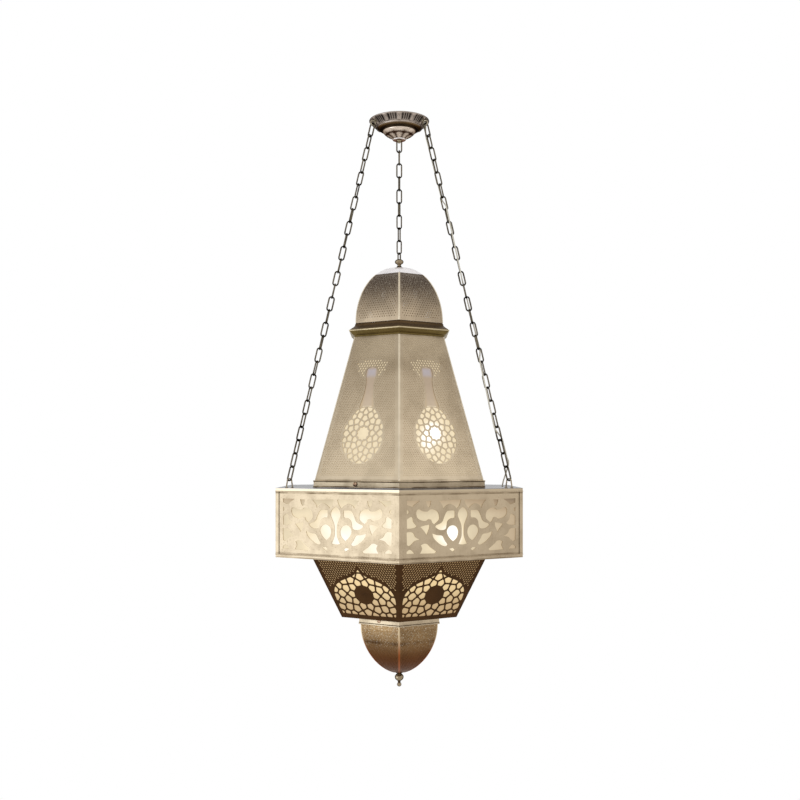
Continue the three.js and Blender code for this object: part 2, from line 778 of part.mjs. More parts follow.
function capGeometry() {
  const outline = [[CAP_HOLE_RADIUS * 1.2, domeTopZ]];
  [0.97, 0.88, 0.7, 0.4, 0].forEach((share) => {
    const height = capFootZ + CAP_HEIGHT * share;
    outline.push([domeRadius(height), height]);
  });
  return turned(sheetProfile(outline, DOME_WALL));
}

function topFinialGeometry() {
  const flareFoot = domeTopZ + FIT;
  const ball = flareFoot + 8.6;
  const studFoot = domeTopZ - 12;
  return turned([
    [0, ball + 4.5],
    [TOP_FINIAL_RADIUS * 0.62, ball + 3.6],
    [TOP_FINIAL_RADIUS, ball],
    [TOP_FINIAL_RADIUS * 0.62, ball - 3.6],
    [2.4, ball - 5.2],
    [2.6, flareFoot + 2.4],
    [5.3, flareFoot],
    [FINIAL_STUD_RADIUS, flareFoot],
    [FINIAL_STUD_RADIUS, studFoot],
    [0, studFoot],
  ], 12);
}

function mouldingGeometry() {
  const bore = cornerRadius(apothem(MOULDING_TOP_RADIUS) - MOULDING_WALL);
  const ridgeZ = mouldingFootZ + MOULDING_HEIGHT * 0.45;
  const half = 0.9;
  return turned([
    [MOULDING_TOP_RADIUS, mouldingTopZ],
    [MOULDING_TOP_RADIUS + 2, mouldingTopZ - 4],
    [MOULDING_RIDGE_RADIUS - 4.4, ridgeZ + 3.6],
    [MOULDING_RIDGE_RADIUS, ridgeZ + half],
    [MOULDING_RIDGE_RADIUS, ridgeZ - half],
    [MOULDING_RIDGE_RADIUS - 4.2, ridgeZ - 4.2],
    [MOULDING_FOOT_RADIUS + 1.2, mouldingFootZ + 2.6],
    [MOULDING_FOOT_RADIUS, mouldingFootZ],
    [bore, mouldingFootZ],
    [bore, mouldingTopZ],
  ]);
}

addPiece(lantern, 'dome_finial', topFinialGeometry(), nickel);
addPiece(lantern, 'crown_cap', capGeometry(), coneBrass);
addPiece(lantern, 'dome_shell', domeGeometry(), domeBrass);
addPiece(lantern, 'crown_moulding', mouldingGeometry(), oldBrass);

// Pierced cone panels

const seamInset = SHEET * Math.tan(HALF_SIDE) + SEAM_GAP / 2;
const coneSlant = CONE_PANEL_HEIGHT / Math.cos(coneLean);

const patternStep = (2 * Math.PI) / STAR_POINTS;

// A point of a pattern at a radius and an angle, clockwise from straight up, about its middle.
function aroundMiddle(height, radius, angle) {
  return [radius * Math.sin(angle), height + radius * Math.cos(angle)];
}

function starHole(height) {
  return Array.from({ length: STAR_POINTS }, (_, i) => {
    return aroundMiddle(height, STAR_RADIUS, patternStep * i);
  });
}

// A four-cornered opening in a ring of openings, as wide as the bars beside it leave.
function kiteHole(height, ring, halfLength, turn) {
  const half = patternStep / 2 - PATTERN_BAR / 2 / ring;
  return [
    aroundMiddle(height, ring - halfLength, turn),
    aroundMiddle(height, ring, turn + half),
    aroundMiddle(height, ring + halfLength, turn),
    aroundMiddle(height, ring, turn - half),
  ];
}

function mirrored(half) {
  const other = half.map(([x, y]) => [-x, y]).reverse();
  return [...half, ...other];
}

function conePanelGeometry() {
  const foot = CONE_BOTTOM_RADIUS / 2 - seamInset;
  const head = CONE_TOP_RADIUS / 2 - seamInset;
  const outline = [[-foot, 0], [foot, 0], [head, coneSlant], [-head, coneSlant]];
  const holes = [starHole(STAR_HEIGHT)];
  for (let i = 0; i < STAR_POINTS; i += 1) {
    const turn = patternStep * i;
    const between = turn + patternStep / 2;
    holes.push(kiteHole(STAR_HEIGHT, KITE_RING_RADIUS, KITE_HALF_LENGTH, between));
    holes.push(kiteHole(STAR_HEIGHT, CELL_RING_RADIUS, CELL_HALF_LENGTH, turn));
  }
  const waist = (NECK_FOOT + NECK_HEAD) / 2 + NECK_WAIST_RISE;
  holes.push(mirrored([
    [NECK_FOOT_HALF, NECK_FOOT],
    [NECK_WAIST_HALF, waist],
    [NECK_HEAD_HALF, NECK_HEAD],
  ]));
  return plate(outline, holes, SHEET);
}

const conePanel = conePanelGeometry();
for (let i = 0; i < SIDES; i += 1) {
  const placed = faceMatrix(2 * HALF_SIDE * i, apothem(CONE_BOTTOM_RADIUS), coneFootRise, coneLean);
  addPiece(lantern, `cone_panel_${i + 1}`, conePanel, coneBrass, placed);
}

// Base lip, its screws and the top plate of the band

const lipScrewZ = lipFootZ + LIP_HEIGHT / 2;

function lipGeometry() {
  const shelf = lipRadius - LIP_SHELF;
  const outline = [[shelf, lipTopZ], [lipRadius, lipTopZ], [lipRadius, lipFootZ]];
  const holes = SCREW_FACES.map((angle) => screwHole(angle, lipRadius, lipScrewZ));
  return cut(turned(sheetProfile(outline, SHEET)), holes);
}

function screwHole(angle, radius, height) {
  const hole = cylinder(SCREW_RADIUS + HOLE_CLEARANCE, -SCREW_LENGTH, 1);
  return hole.applyMatrix4(faceMatrix(radians(angle), apothem(radius), height));
}

function screwGeometry() {
  return turned([
    [0, FIT + SCREW_HEAD_HEIGHT],
    [SCREW_HEAD_RADIUS * 0.6, FIT + SCREW_HEAD_HEIGHT * 0.8],
    [SCREW_HEAD_RADIUS, FIT],
    [SCREW_RADIUS, FIT],
    [SCREW_RADIUS, -SCREW_LENGTH + FIT],
    [0, -SCREW_LENGTH + FIT],
  ], 10);
}

function bandPlateProfile(outer, opening, flange) {
  const wall = cornerRadius(apothem(outer) - BAND_FLANGE_WALL);
  return [
    [opening, 0],
    [outer, 0],
    [outer, flange],
    [wall, flange],
    [wall, Math.sign(flange) * PLATE_THICKNESS],
    [opening, Math.sign(flange) * PLATE_THICKNESS],
  ];
}

function topPlateGeometry() {
  const profile = bandPlateProfile(BAND_RADIUS, plateOpeningRadius, -BAND_FLANGE_HEIGHT);
  const upstand = [
    [plateOpeningRadius, upstandHeight],
    [upstandRadius, upstandHeight],
    [upstandRadius, 0],
  ];
  const plateBody = turned([...upstand, ...profile.slice(1)]);
  const screws = SCREW_FACES.map((angle) => screwHole(angle, lipRadius, lipScrewZ));
  const legs = chains.flatMap((chain) => eyeletHoles(chain.azimuth));
  const cord = cylinder(CORD_RADIUS + HOLE_CLEARANCE, -4, 2);
  cord.translate(cordPlateHole.x, cordPlateHole.y, 0);
  return cut(plateBody, [...screws, ...legs, cord]);
}

// Eyelets for the chains: bent wire with riveted ends under the plate

const eyeletCrown = eyeletPivot.clone().addScaledVector(chainRun, -OPEN_SPACING / 2);
const eyeletHeight = eyeletCrown.z - lanternZ;

function eyeletHoles(azimuth) {
  return [-1, 1].map((side) => {
    const hole = cylinder(EYELET_WIRE / 2 + HOLE_CLEARANCE, -4, 2);
    hole.translate(eyeletCrown.x + (side * EYELET_BASE_WIDTH) / 2, 0, 0);
    return hole.applyMatrix4(chainPlane(azimuth));
  });
}

function eyeletGeometry() {
  const half = EYELET_BASE_WIDTH / 2;
  const headTop = -PLATE_THICKNESS - FIT;
  const headFoot = headTop - EYELET_HEAD_THICKNESS;
  const rise = eyeletHeight - OPEN_SPACING;
  const right = [
    [half, headFoot + 0.2],
    [half, 2],
    [half - 0.3, 5],
    [LINK_WIDTH / 2 - 0.2, rise - 2.2],
    [LINK_WIDTH / 2 - 0.3, rise],
    [2.6, eyeletHeight - 0.8],
  ];
  const left = right.map(([x, z]) => [-x, z]).reverse();
  const points = [...right, [0, eyeletHeight], ...left].map(([x, z]) => {
    return new THREE.Vector3(eyeletCrown.x + x, 0, z);
  });
  const heads = [-1, 1].map((side) => {
    const head = cylinder(EYELET_HEAD_RADIUS, headFoot, headTop);
    return head.translate(eyeletCrown.x + side * half, 0, 0);
  });
  return joined([tube(points, EYELET_WIRE / 2, 6), ...heads]);
}

addPiece(lantern, 'cone_base_lip', lipGeometry(), bandBrass);
SCREW_FACES.forEach((angle, i) => {
  const placed = faceMatrix(radians(angle), apothem(lipRadius), lipScrewZ);
  addPiece(lantern, `lip_screw_${i + 1}`, screwGeometry(), nickel, placed);
});
addPiece(lantern, 'band_top_plate', topPlateGeometry(), plateGrey);
chains.forEach((chain) => {
  const placed = chainPlane(chain.azimuth);
  addPiece(lantern, `band_eyelet_${chain.name}`, eyeletGeometry(), nickel, placed);
});

// Pierced band panels: outlines of the windows, measured from the panel's middle and foot

const bandWindows = {
  centre: [
    [0, 77.5], [6.4, 73], [8.4, 66], [2.6, 51.4], [2.2, 38], [7.6, 24.2],
    [-7.6, 24.2], [-2.2, 38], [-2.6, 51.4], [-8.4, 66], [-6.4, 73],
  ],
  sides: [
    [[17.3, 51.6], [9.4, 47], [9.4, 35], [16.6, 28.2], [25, 36], [25.4, 47.6]],
    [[51.4, 40.9], [34.8, 36.9], [25.8, 24.3], [29, 22], [42.5, 28]],
    [[26.1, 71.9], [13.7, 72.2], [13.7, 63.6], [23.6, 60], [28.3, 47.5], [33.4, 45.2],
      [46.6, 49.9], [34.1, 58.1]],
    [[73.4, 75.5], [62.4, 72], [54.9, 75], [44, 73], [40, 61], [48.5, 53.6], [53.5, 60.4],
      [69.1, 59.7], [77.9, 68.4]],
    [[71.3, 50.7], [56.4, 53.5], [60.9, 38.9]],
    [[93.2, 61.6], [87.4, 65], [76.9, 52.1], [93, 49]],
    [[93.7, 43.6], [82.5, 42.1], [72, 32.9], [91, 24.8]],
    [[66.4, 26.7], [59.9, 26.1], [45.4, 14], [72, 13.6]],
    [[40.6, 86.9], [2.6, 88], [10, 75.2], [21.7, 82.2], [32.6, 75.1]],
  ],
};

const bandPanelApothem = apothem(BAND_RADIUS) - BAND_FLANGE_WALL - FIT;
const bandPanelHalf = bandPanelApothem * Math.tan(HALF_SIDE) - seamInset;
const bandPanelFootZ = floorTopZ + FIT;
const bandPanelTopZ = -PLATE_THICKNESS - FIT;

// The windows are drawn for one size of panel and stretch with it.
function fittedWindow(hole) {
  const wider = bandPanelHalf / WINDOWS_DRAWN_HALF;
  const taller = BAND_HEIGHT / WINDOWS_DRAWN_HEIGHT;
  return hole.map(([x, y]) => [x * wider, y * taller]);
}

function bandPanelGeometry() {
  const low = bandPanelFootZ - bandFootZ;
  const high = bandPanelTopZ - bandFootZ;
  const half = bandPanelHalf;
  const outline = [[-half, low], [half, low], [half, high], [-half, high]];
  const sides = bandWindows.sides.map(fittedWindow);
  const others = sides.map((hole) => hole.map(([x, y]) => [-x, y]));
  return plate(outline, [fittedWindow(bandWindows.centre), ...sides, ...others], SHEET);
}

const bandPanel = bandPanelGeometry();
for (let i = 0; i < SIDES; i += 1) {
  const placed = faceMatrix(2 * HALF_SIDE * i, bandPanelApothem, bandFootZ);
  addPiece(lantern, `band_panel_${i + 1}`, bandPanel, bandBrass, placed);
}

function bottomPlateGeometry() {
  const profile = bandPlateProfile(BAND_RADIUS, FLOOR_OPENING_RADIUS, BAND_FLANGE_HEIGHT);
  return turned(profile).translate(0, 0, bandFootZ);
}

addPiece(lantern, 'band_bottom_plate', bottomPlateGeometry(), bandBrass);

// Lower section: one folded sheet with a pierced arch on each face

const lowerSlope = (apothem(LOWER_BOTTOM_RADIUS) - apothem(LOWER_TOP_RADIUS)) / LOWER_HEIGHT;
const lowerLean = Math.atan(lowerSlope);

function rosetteCell(number) {
  const turn = patternStep * (number + 0.5);
  const corners = kiteHole(ROSETTE_HEIGHT, ROSETTE_RING_RADIUS, ROSETTE_HALF_LENGTH, turn);
  const shape = new THREE.Shape(corners.map(([x, y]) => new THREE.Vector2(x, y)));
  const cell = new THREE.ExtrudeGeometry(shape, { depth: 5 * LOWER_WALL, bevelEnabled: false });
  return cell.translate(0, 0, -3 * LOWER_WALL);
}

function spigotRadius() {
  return cornerRadius(apothem(COLLAR_RING_RADIUS) - SHEET - FIT);
}

function lowerSectionGeometry() {
  const outline = [
    [LOWER_TOP_RADIUS - LOWER_RIM_WIDTH, lowerTopZ],
    [LOWER_TOP_RADIUS, lowerTopZ],
    [LOWER_BOTTOM_RADIUS, lowerFootZ],
    [spigotRadius(), lowerFootZ],
    [spigotRadius(), lowerFootZ - SPIGOT_HEIGHT],
  ];
  const cutters = [];
  for (let face = 0; face < SIDES; face += 1) {
    const azimuth = 2 * HALF_SIDE * face;
    const placed = faceMatrix(azimuth, apothem(LOWER_BOTTOM_RADIUS), lowerFootZ, lowerLean);
    for (let i = 0; i < STAR_POINTS; i += 1) {
      cutters.push(rosetteCell(i).applyMatrix4(placed));
    }
  }
  SCREW_FACES.forEach((angle) => {
    cutters.push(screwHole(angle, COLLAR_RING_RADIUS, collarScrewZ));
  });
  return cut(turned(sheetProfile(outline, LOWER_WALL)), cutters);
}

const collarScrewZ = lowerFootZ - SPIGOT_HEIGHT / 2 - FIT;

function collarRingGeometry() {
  const outline = [
    [COLLAR_RING_RADIUS, collarRingTopZ],
    [COLLAR_RING_RADIUS, collarRingFootZ],
    [LOWER_DOME_RADIUS - LOWER_DOME_FLANGE, collarRingFootZ],
  ];
  const ring = turned(sheetProfile(outline, SHEET));
  const screws = SCREW_FACES.map((angle) => {
    const placed = faceMatrix(radians(angle), apothem(COLLAR_RING_RADIUS) - FIT, collarScrewZ);
    return screwGeometry().applyMatrix4(placed);
  });
  return joined([ring, ...screws]);
}

function lowerDomeGeometry() {
  const steps = 8;
  const neckTop = lowerDomeTopZ - LOWER_DOME_SKIRT;
  const outline = [
    [LOWER_DOME_RADIUS - LOWER_DOME_FLANGE, lowerDomeTopZ],
    [LOWER_DOME_RADIUS, lowerDomeTopZ],
  ];
  for (let i = 0; i < steps; i += 1) {
    const share = Math.sin((Math.PI / 2) * (i / steps));
    const radius = LOWER_DOME_RADIUS * (1 - (0.98 * share) ** 1.8) ** 0.6;
    outline.push([radius, neckTop - LOWER_DOME_HEIGHT * share]);
  }
  outline.push([LOWER_ROD_RADIUS + 2 * HOLE_CLEARANCE, lowerDomeFootZ]);
  return turned(sheetProfile(outline, DOME_WALL));
}

function bottomFinialGeometry() {
  const top = lowerDomeFootZ - FIT;
  const bore = LOWER_ROD_RADIUS + HOLE_CLEARANCE;
  const boreFoot = top - ROD_GRIP;
  const ball = top - 7.9;
  const foot = top - BOTTOM_FINIAL_LENGTH;
  return turned([
    [0, boreFoot],
    [bore, boreFoot],
    [bore, top],
    [5.4, top],
    [3.6, ball + 5.8],
    [BOTTOM_FINIAL_RADIUS * 0.72, ball + 3.9],
    [BOTTOM_FINIAL_RADIUS, ball],
    [BOTTOM_FINIAL_RADIUS * 0.72, ball - 3.9],
    [2.2, ball - 6.6],
    [1.8, foot + 7.6],
    [3.6, foot + 4],
    [2, foot + 1],
    [0, foot],
  ], 12);
}

addPiece(lantern, 'lower_section', lowerSectionGeometry(), bronze);
addPiece(lantern, 'lower_collar', collarRingGeometry(), bandBrass);
addPiece(lantern, 'lower_dome', lowerDomeGeometry(), lowerDomeBrass);
addPiece(lantern, 'bottom_finial', bottomFinialGeometry(), nickel);

// Frosted liners just inside the pierced sheets

function behind(radius, slopeAngle, depth) {
  return cornerRadius(apothem(radius) - depth / Math.cos(slopeAngle));
}

function linerGeometry(top, foot, slopeAngle, wall) {
  const depth = wall + FIT;
  const outline = [
    [behind(top[0], slopeAngle, depth), top[1]],
    [behind(foot[0], slopeAngle, depth), foot[1]],
  ];
  const inner = [
    [behind(foot[0], slopeAngle, depth + LINER), foot[1]],
    [behind(top[0], slopeAngle, depth + LINER), top[1]],
  ];
  return turned([...outline, ...inner]);
}

function alongWall(low, high, height) {
  const share = (height - low[1]) / (high[1] - low[1]);
  return [low[0] + (high[0] - low[0]) * share, height];
}

const coneLow = [CONE_BOTTOM_RADIUS, coneFootRise];
const coneHigh = [CONE_TOP_RADIUS, coneHeadZ];
const coneLiner = linerGeometry(
  alongWall(coneLow, coneHigh, coneHeadZ - FIT),
  alongWall(coneLow, coneHigh, lipTopZ + FIT),
  coneLean,
  SHEET,
);
const bandWallRadius = cornerRadius(bandPanelApothem);
const bandLiner = linerGeometry(
  [bandWallRadius, -PLATE_THICKNESS - EYELET_HEAD_THICKNESS - 2 * FIT],
  [bandWallRadius, floorTopZ + FIT],
  0,
  SHEET,
);
const lowerLow = [LOWER_BOTTOM_RADIUS, lowerFootZ];
const lowerHigh = [LOWER_TOP_RADIUS, lowerTopZ];
const lowerLiner = linerGeometry(
  alongWall(lowerLow, lowerHigh, lowerTopZ - LOWER_WALL - FIT),
  alongWall(lowerLow, lowerHigh, lowerFootZ + LOWER_WALL + FIT),
  lowerLean,
  LOWER_WALL,
);
addPiece(lantern, 'cone_liner', coneLiner, frosted);
addPiece(lantern, 'band_liner', bandLiner, frosted);
addPiece(lantern, 'lower_liner', lowerLiner, frosted);

// Lamps: a three-armed spider on the floor of the band, three holders and three bulbs

const spiderFootZ = floorTopZ + FIT;
const spiderTopZ = spiderFootZ + SPIDER_THICKNESS;
const holderFootZ = spiderTopZ + FIT;
const holderTopZ = holderFootZ + HOLDER_HEIGHT;
const lampSocketRadius = (BULB_BASE_RADIUS + FIT) / Math.cos(Math.PI / 12);
const bulbFootZ = holderFootZ + HOLDER_FLOOR + FIT;

function spiderGeometry() {
  const arms = LAMP_ANGLES.map((angle) => {
    const arm = new THREE.BoxGeometry(SPIDER_ARM_LENGTH, SPIDER_ARM_WIDTH, SPIDER_THICKNESS);
    arm.translate(SPIDER_ARM_LENGTH / 2, 0, spiderFootZ + SPIDER_THICKNESS / 2);
    return arm.rotateZ(radians(angle));
  });
  const body = joined(arms);
  const rodHole = cylinder(LOWER_ROD_RADIUS + HOLE_CLEARANCE, spiderFootZ - 2, spiderTopZ + 2);
  return cut(body, [rodHole]);
}

function holderGeometry() {
  const floor = holderFootZ + HOLDER_FLOOR;
  return turned([
    [0, floor],
    [lampSocketRadius, floor],
    [lampSocketRadius, holderTopZ],
    [HOLDER_RADIUS - 0.8, holderTopZ],
    [HOLDER_RADIUS, holderTopZ - 3],
    [HOLDER_RADIUS - 1.2, holderFootZ + 6],
    [HOLDER_RADIUS - 5, holderFootZ],
    [0, holderFootZ],
  ], 12);
}

function bulbGeometry() {
  const baseTop = holderTopZ + FIT;
  const bulge = bulbFootZ + BULB_LENGTH - BULB_RADIUS;
  return turned([
    [0, bulbFootZ],
    [BULB_BASE_RADIUS * 0.5, bulbFootZ],
    [BULB_BASE_RADIUS, bulbFootZ + 5],
    [BULB_BASE_RADIUS, baseTop],
    [BULB_BASE_RADIUS + 2, baseTop + BULB_NECK_LENGTH],
    [BULB_RADIUS * 0.84, bulge - 16],
    [BULB_RADIUS, bulge],
    [BULB_RADIUS * 0.88, bulge + BULB_RADIUS * 0.5],
    [BULB_RADIUS * 0.5, bulge + BULB_RADIUS * 0.88],
    [0, bulge + BULB_RADIUS],
  ], 12);
}

function lowerRodGeometry() {
  const headFoot = spiderTopZ + FIT;
  const tip = lowerDomeFootZ - ROD_GRIP;
  const headTop = headFoot + LOWER_ROD_HEAD_HEIGHT;
  return turned([
    [0, headTop],
    [LOWER_ROD_HEAD_RADIUS, headTop],
    [LOWER_ROD_HEAD_RADIUS, headFoot],
    [LOWER_ROD_RADIUS, headFoot],
    [LOWER_ROD_RADIUS, tip],
    [0, tip],
  ], 12);
}

function innerCordRoute() {
  const { x, y } = cordPlateHole;
  const rest = floorTopZ + CORD_RADIUS + FIT;
  const onArm = spiderTopZ + CORD_RADIUS + FIT;
  const holderWall = LAMP_CIRCLE_RADIUS + HOLDER_RADIUS + FIT;
  return [
    new THREE.Vector3(x, y, 0),
    new THREE.Vector3(x, y, -8),
    new THREE.Vector3(x - 3, y + 3, rest * 0.4),
    new THREE.Vector3(x - 8, y + 7, rest * 0.8),
    new THREE.Vector3(x - 12, y + 11, rest + 6),
    new THREE.Vector3(x - 18, y + 20, rest + 1),
    new THREE.Vector3(holderWall + 40, y * 0.5, onArm),
    new THREE.Vector3(holderWall + 34, y * 0.28, onArm + 1),
    new THREE.Vector3(holderWall + 26, y * 0.1, onArm + 1),
    new THREE.Vector3(holderWall + 16, y * 0.01, onArm + 2),
    new THREE.Vector3(holderWall + 4, 0, onArm + 5),
    new THREE.Vector3(holderWall, 0, onArm + 6),
  ];
}

addPiece(lantern, 'lamp_spider', spiderGeometry(), steel);
addPiece(lantern, 'lower_rod', lowerRodGeometry(), steel);
LAMP_ANGLES.forEach((angle, i) => {
  const placed = new THREE.Matrix4().makeTranslation(
    LAMP_CIRCLE_RADIUS * Math.cos(radians(angle)),
    LAMP_CIRCLE_RADIUS * Math.sin(radians(angle)),
    0,
  );
  addPiece(lantern, `lamp_holder_${i + 1}`, holderGeometry(), ceramic, placed);
  addPiece(lantern, `bulb_${i + 1}`, bulbGeometry(), bulbGlass, placed);
});
const innerCord = tube(innerCordRoute(), CORD_RADIUS, CORD_SIDES);
addPiece(lantern, 'lamp_cord_inner', innerCord, cordPlastic);

export default model;
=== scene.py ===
"""Looks of a hexagonal pierced-metal hanging lantern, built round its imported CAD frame.

Lengths are in millimetres until a mesh is made. Angles are in degrees unless a docstring says radians.
The ceiling is the plane z = 0 and the lantern hangs on the Z axis, with one corner towards -Y.
"""

import math

import bmesh
import bpy
import numpy as np
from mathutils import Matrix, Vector
from mathutils.geometry import delaunay_2d_cdt


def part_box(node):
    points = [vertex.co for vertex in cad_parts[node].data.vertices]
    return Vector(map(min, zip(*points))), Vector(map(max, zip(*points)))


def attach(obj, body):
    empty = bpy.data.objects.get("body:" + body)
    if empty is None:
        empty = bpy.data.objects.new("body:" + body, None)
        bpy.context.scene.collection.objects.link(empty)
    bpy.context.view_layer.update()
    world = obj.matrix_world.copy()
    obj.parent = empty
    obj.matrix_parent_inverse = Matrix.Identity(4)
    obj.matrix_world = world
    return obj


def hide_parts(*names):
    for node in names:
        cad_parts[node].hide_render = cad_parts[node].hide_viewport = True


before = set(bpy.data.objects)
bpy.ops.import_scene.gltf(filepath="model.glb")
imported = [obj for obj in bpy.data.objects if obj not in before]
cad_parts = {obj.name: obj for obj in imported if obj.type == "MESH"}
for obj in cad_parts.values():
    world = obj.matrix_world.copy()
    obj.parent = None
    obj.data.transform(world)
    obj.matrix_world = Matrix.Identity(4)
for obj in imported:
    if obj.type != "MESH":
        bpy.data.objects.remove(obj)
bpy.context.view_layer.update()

MM = 0.001
SIDES = 6
FACE_STEP = 60
TAN_30 = math.tan(math.radians(30))
CORNER_FROM_FLAT = 1 / math.cos(math.radians(30))
UP = np.array([0, 0, 1.0])


def top_of(node):
    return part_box(node)[1].z / MM


def foot_of(node):
    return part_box(node)[0].z / MM


# Heights read from the frame
BAND_MARGIN = 1.5
BAND_TOP = top_of("band_panel_1") + BAND_MARGIN
BAND_FOOT = foot_of("band_bottom_plate")
LIP_TOP = top_of("cone_base_lip")
CONE_FOOT = foot_of("cone_panel_1")
CONE_HEAD = top_of("cone_panel_1")
MOULDING_FOOT = foot_of("crown_moulding")
MOULDING_TOP = top_of("crown_moulding")
DOME_FOOT = foot_of("dome_shell")
CAP_FOOT = foot_of("crown_cap")
LOWER_TOP = top_of("lower_section")
COLLAR_TOP = top_of("lower_collar")
COLLAR_FOOT = foot_of("lower_collar")
LOWER_DOME_TOP = top_of("lower_dome")

# Corner radii, heights and walls, as in the frame
CONE_FOOT_RADIUS = 147.9
CONE_HEAD_RADIUS = 80.4
CONE_HEIGHT = 221.6
LIP_RADIUS = 151.3
BAND_RADIUS = 212.5
LOWER_TOP_RADIUS = 153.9
LOWER_FOOT_RADIUS = 101.7
LOWER_HEIGHT = 97.4
COLLAR_RADIUS = 72.9
DOME_RADIUS = 78
DOME_HEIGHT = 94
LOWER_DOME_RADIUS = 69
LOWER_DOME_SKIRT = 2.5
LOWER_DOME_HEIGHT = 79.4
SHEET = 1
HEAVY_SHEET = 1.2
FIT = 0.3
SEAM_INSET = SHEET * TAN_30 + 0.2

# Chains
LINK_COUNT = 28
LINK_WIDTH = 7.8
WIRE = 2.4
OPEN_SPACING = WIRE + 0.5
FUSED_SPACING = WIRE - 0.5
HOOK_PIVOT = np.array([47.9, 0, -13])
EYELET_PIVOT = np.array([190.4, 0, BAND_TOP + 12.2])
SPAN = np.linalg.norm(EYELET_PIVOT - HOOK_PIVOT)
RUN = (EYELET_PIVOT - HOOK_PIVOT) / SPAN

# Camera of the photograph
CAMERA_DISTANCE = 1594.1
CAMERA_HEIGHT = -543.9
CAMERA_LENS = 44.97
CAMERA_SHIFT = (0.001, 0.0778)


# Flat shapes


def smooth_loop(points, steps=4, sharp=58):
    """A closed curve through the points: cubic Hermite spans whose slope at a point is half the chord
    between its neighbours, and nothing at a point where the outline turns by more than the sharp angle."""
    p = np.asarray(points, float)
    before, after = np.roll(p, 1, 0), np.roll(p, -1, 0)
    arrive, leave = p - before, after - p
    turn = np.arctan2(leave[:, 1], leave[:, 0]) - np.arctan2(arrive[:, 1], arrive[:, 0])
    soft = np.abs(np.angle(np.exp(1j * turn))) < math.radians(sharp)
    slope = (after - before) / 2 * soft[:, None]
    nearer = np.minimum(np.linalg.norm(arrive, axis=1), np.linalg.norm(leave, axis=1))[:, None]
    slope *= np.minimum(1, 1.2 * nearer / np.maximum(np.linalg.norm(slope, axis=1)[:, None], 1e-6))
    t = (np.arange(steps) / steps)[None, :, None]
    curve = (2 * t**3 - 3 * t**2 + 1) * p[:, None] + (t**3 - 2 * t**2 + t) * slope[:, None]
    curve = curve + (3 * t**2 - 2 * t**3) * after[:, None] + (t**3 - t**2) * np.roll(slope, -1, 0)[:, None]
    return curve.reshape(-1, 2)


def mirrored(points):
    """The same outline on the other side of the upright axis, x turned to -x."""
    return [(-x, y) for x, y in points]


def both_sides(foot, half, head):
    """An outline from the middle line at its foot, up one side to its head, and down the other side."""
    return [(0, foot), *half, (0, head), *mirrored(half[::-1])]


def area(loop):
    """Signed area by the shoelace sum, positive for an anticlockwise loop."""
    x, y = loop[:, 0], loop[:, 1]
    return 0.5 * float(np.sum(x * np.roll(y, -1) - y * np.roll(x, -1)))


def anticlockwise(points):
    loop = np.asarray(points, float)
    return loop if area(loop) > 0 else loop[::-1]


def inside(points, loop):
    """True for each point whose ray to +x crosses the loop's edges an odd number of times."""
    x, y = points[..., 0, None], points[..., 1, None]
    a, b = loop, np.roll(loop, -1, 0)
    spans = (a[:, 1] > y) != (b[:, 1] > y)
    rise = np.where(np.abs(b[:, 1] - a[:, 1]) < 1e-12, 1e-12, b[:, 1] - a[:, 1])
    cross = a[:, 0] + (y - a[:, 1]) / rise * (b[:, 0] - a[:, 0])
    return (np.sum(spans & (x < cross), -1) % 2).astype(bool)


def punched(outline, holes):
    """Points and triangles of the outline less its holes. Triangles come from a constrained Delaunay net;
    one whose corners all lie on the same hole, in that hole's own turning order, fills the hole and is
    dropped."""
    loops = [anticlockwise(outline)] + [anticlockwise(hole) for hole in holes]
    sizes = np.array([len(loop) for loop in loops])
    starts = np.cumsum(sizes) - sizes
    owner = np.repeat(np.arange(len(loops)), sizes)
    number = np.arange(len(owner))
    following = np.where(number - starts[owner] == sizes[owner] - 1, starts[owner], number + 1)
    edges = np.stack([number, following], 1).tolist()
    found = delaunay_2d_cdt([Vector(p) for p in np.concatenate(loops)], edges, [], 0, 1e-6, False)
    triangles = np.array(found[2])
    owner = owner[triangles]
    same = (owner[:, 0] == owner[:, 1]) & (owner[:, 1] == owner[:, 2])
    a, b, c = triangles.T
    forward = ((a < b) & (b < c)) | ((b < c) & (c < a)) | ((c < a) & (a < b))
    in_hole = same & forward & (owner[:, 0] > 0)
    beyond = same & ~forward & (owner[:, 0] == 0)
    return np.array([tuple(p) for p in found[0]]), triangles[~(in_hole | beyond)]


def staggered(width, low, high, pitch, rise):
    """Centres of a net of holes: rows a rise apart, each shifted by half a pitch from the one below."""
    rows = np.arange(low, high, rise)
    columns = np.arange(-int(width / pitch) - 1, int(width / pitch) + 2)
    x = columns[None, :] * pitch + (np.arange(len(rows)) % 2)[:, None] * pitch / 2
    y = np.repeat(rows[:, None], len(columns), 1)
    return np.stack([x, y], -1).reshape(-1, 2)


def small_hole(width, height, corners):
    """A small many-sided opening of the given width and height, one corner up."""
    turn = 2 * np.pi * np.arange(corners) / corners
    return np.column_stack([width / 2 * np.sin(turn), height / 2 * np.cos(turn)])


def net_holes(centres, shape, allowed):
    """Copies of the small shape at the centres, kept where the allowed test holds at every corner."""
    loops = centres[:, None] + shape[None]
    return list(loops[np.all(allowed(loops), axis=1)])


def within_trapezium(foot, head, height, margin):
    """A test for points between two leaning sides and two level ones, all moved inwards by the margin."""
    lean = (foot - head) / height

    def test(points):
        x, y = np.abs(points[..., 0]), points[..., 1]
        return (x < foot - lean * y - margin) & (y > margin) & (y < height - margin)

    return test


# Rosette of cells, a traditional ten-fold star pattern

RAYS = 10
RING_REACHES_AND_STARTS = [(1.5, 18), (2.28, 0), (2.86, 18), (3.3, 0), (3.75, 9), (3.75, 27), (4.45, 0),
                           (4.5, 18)]


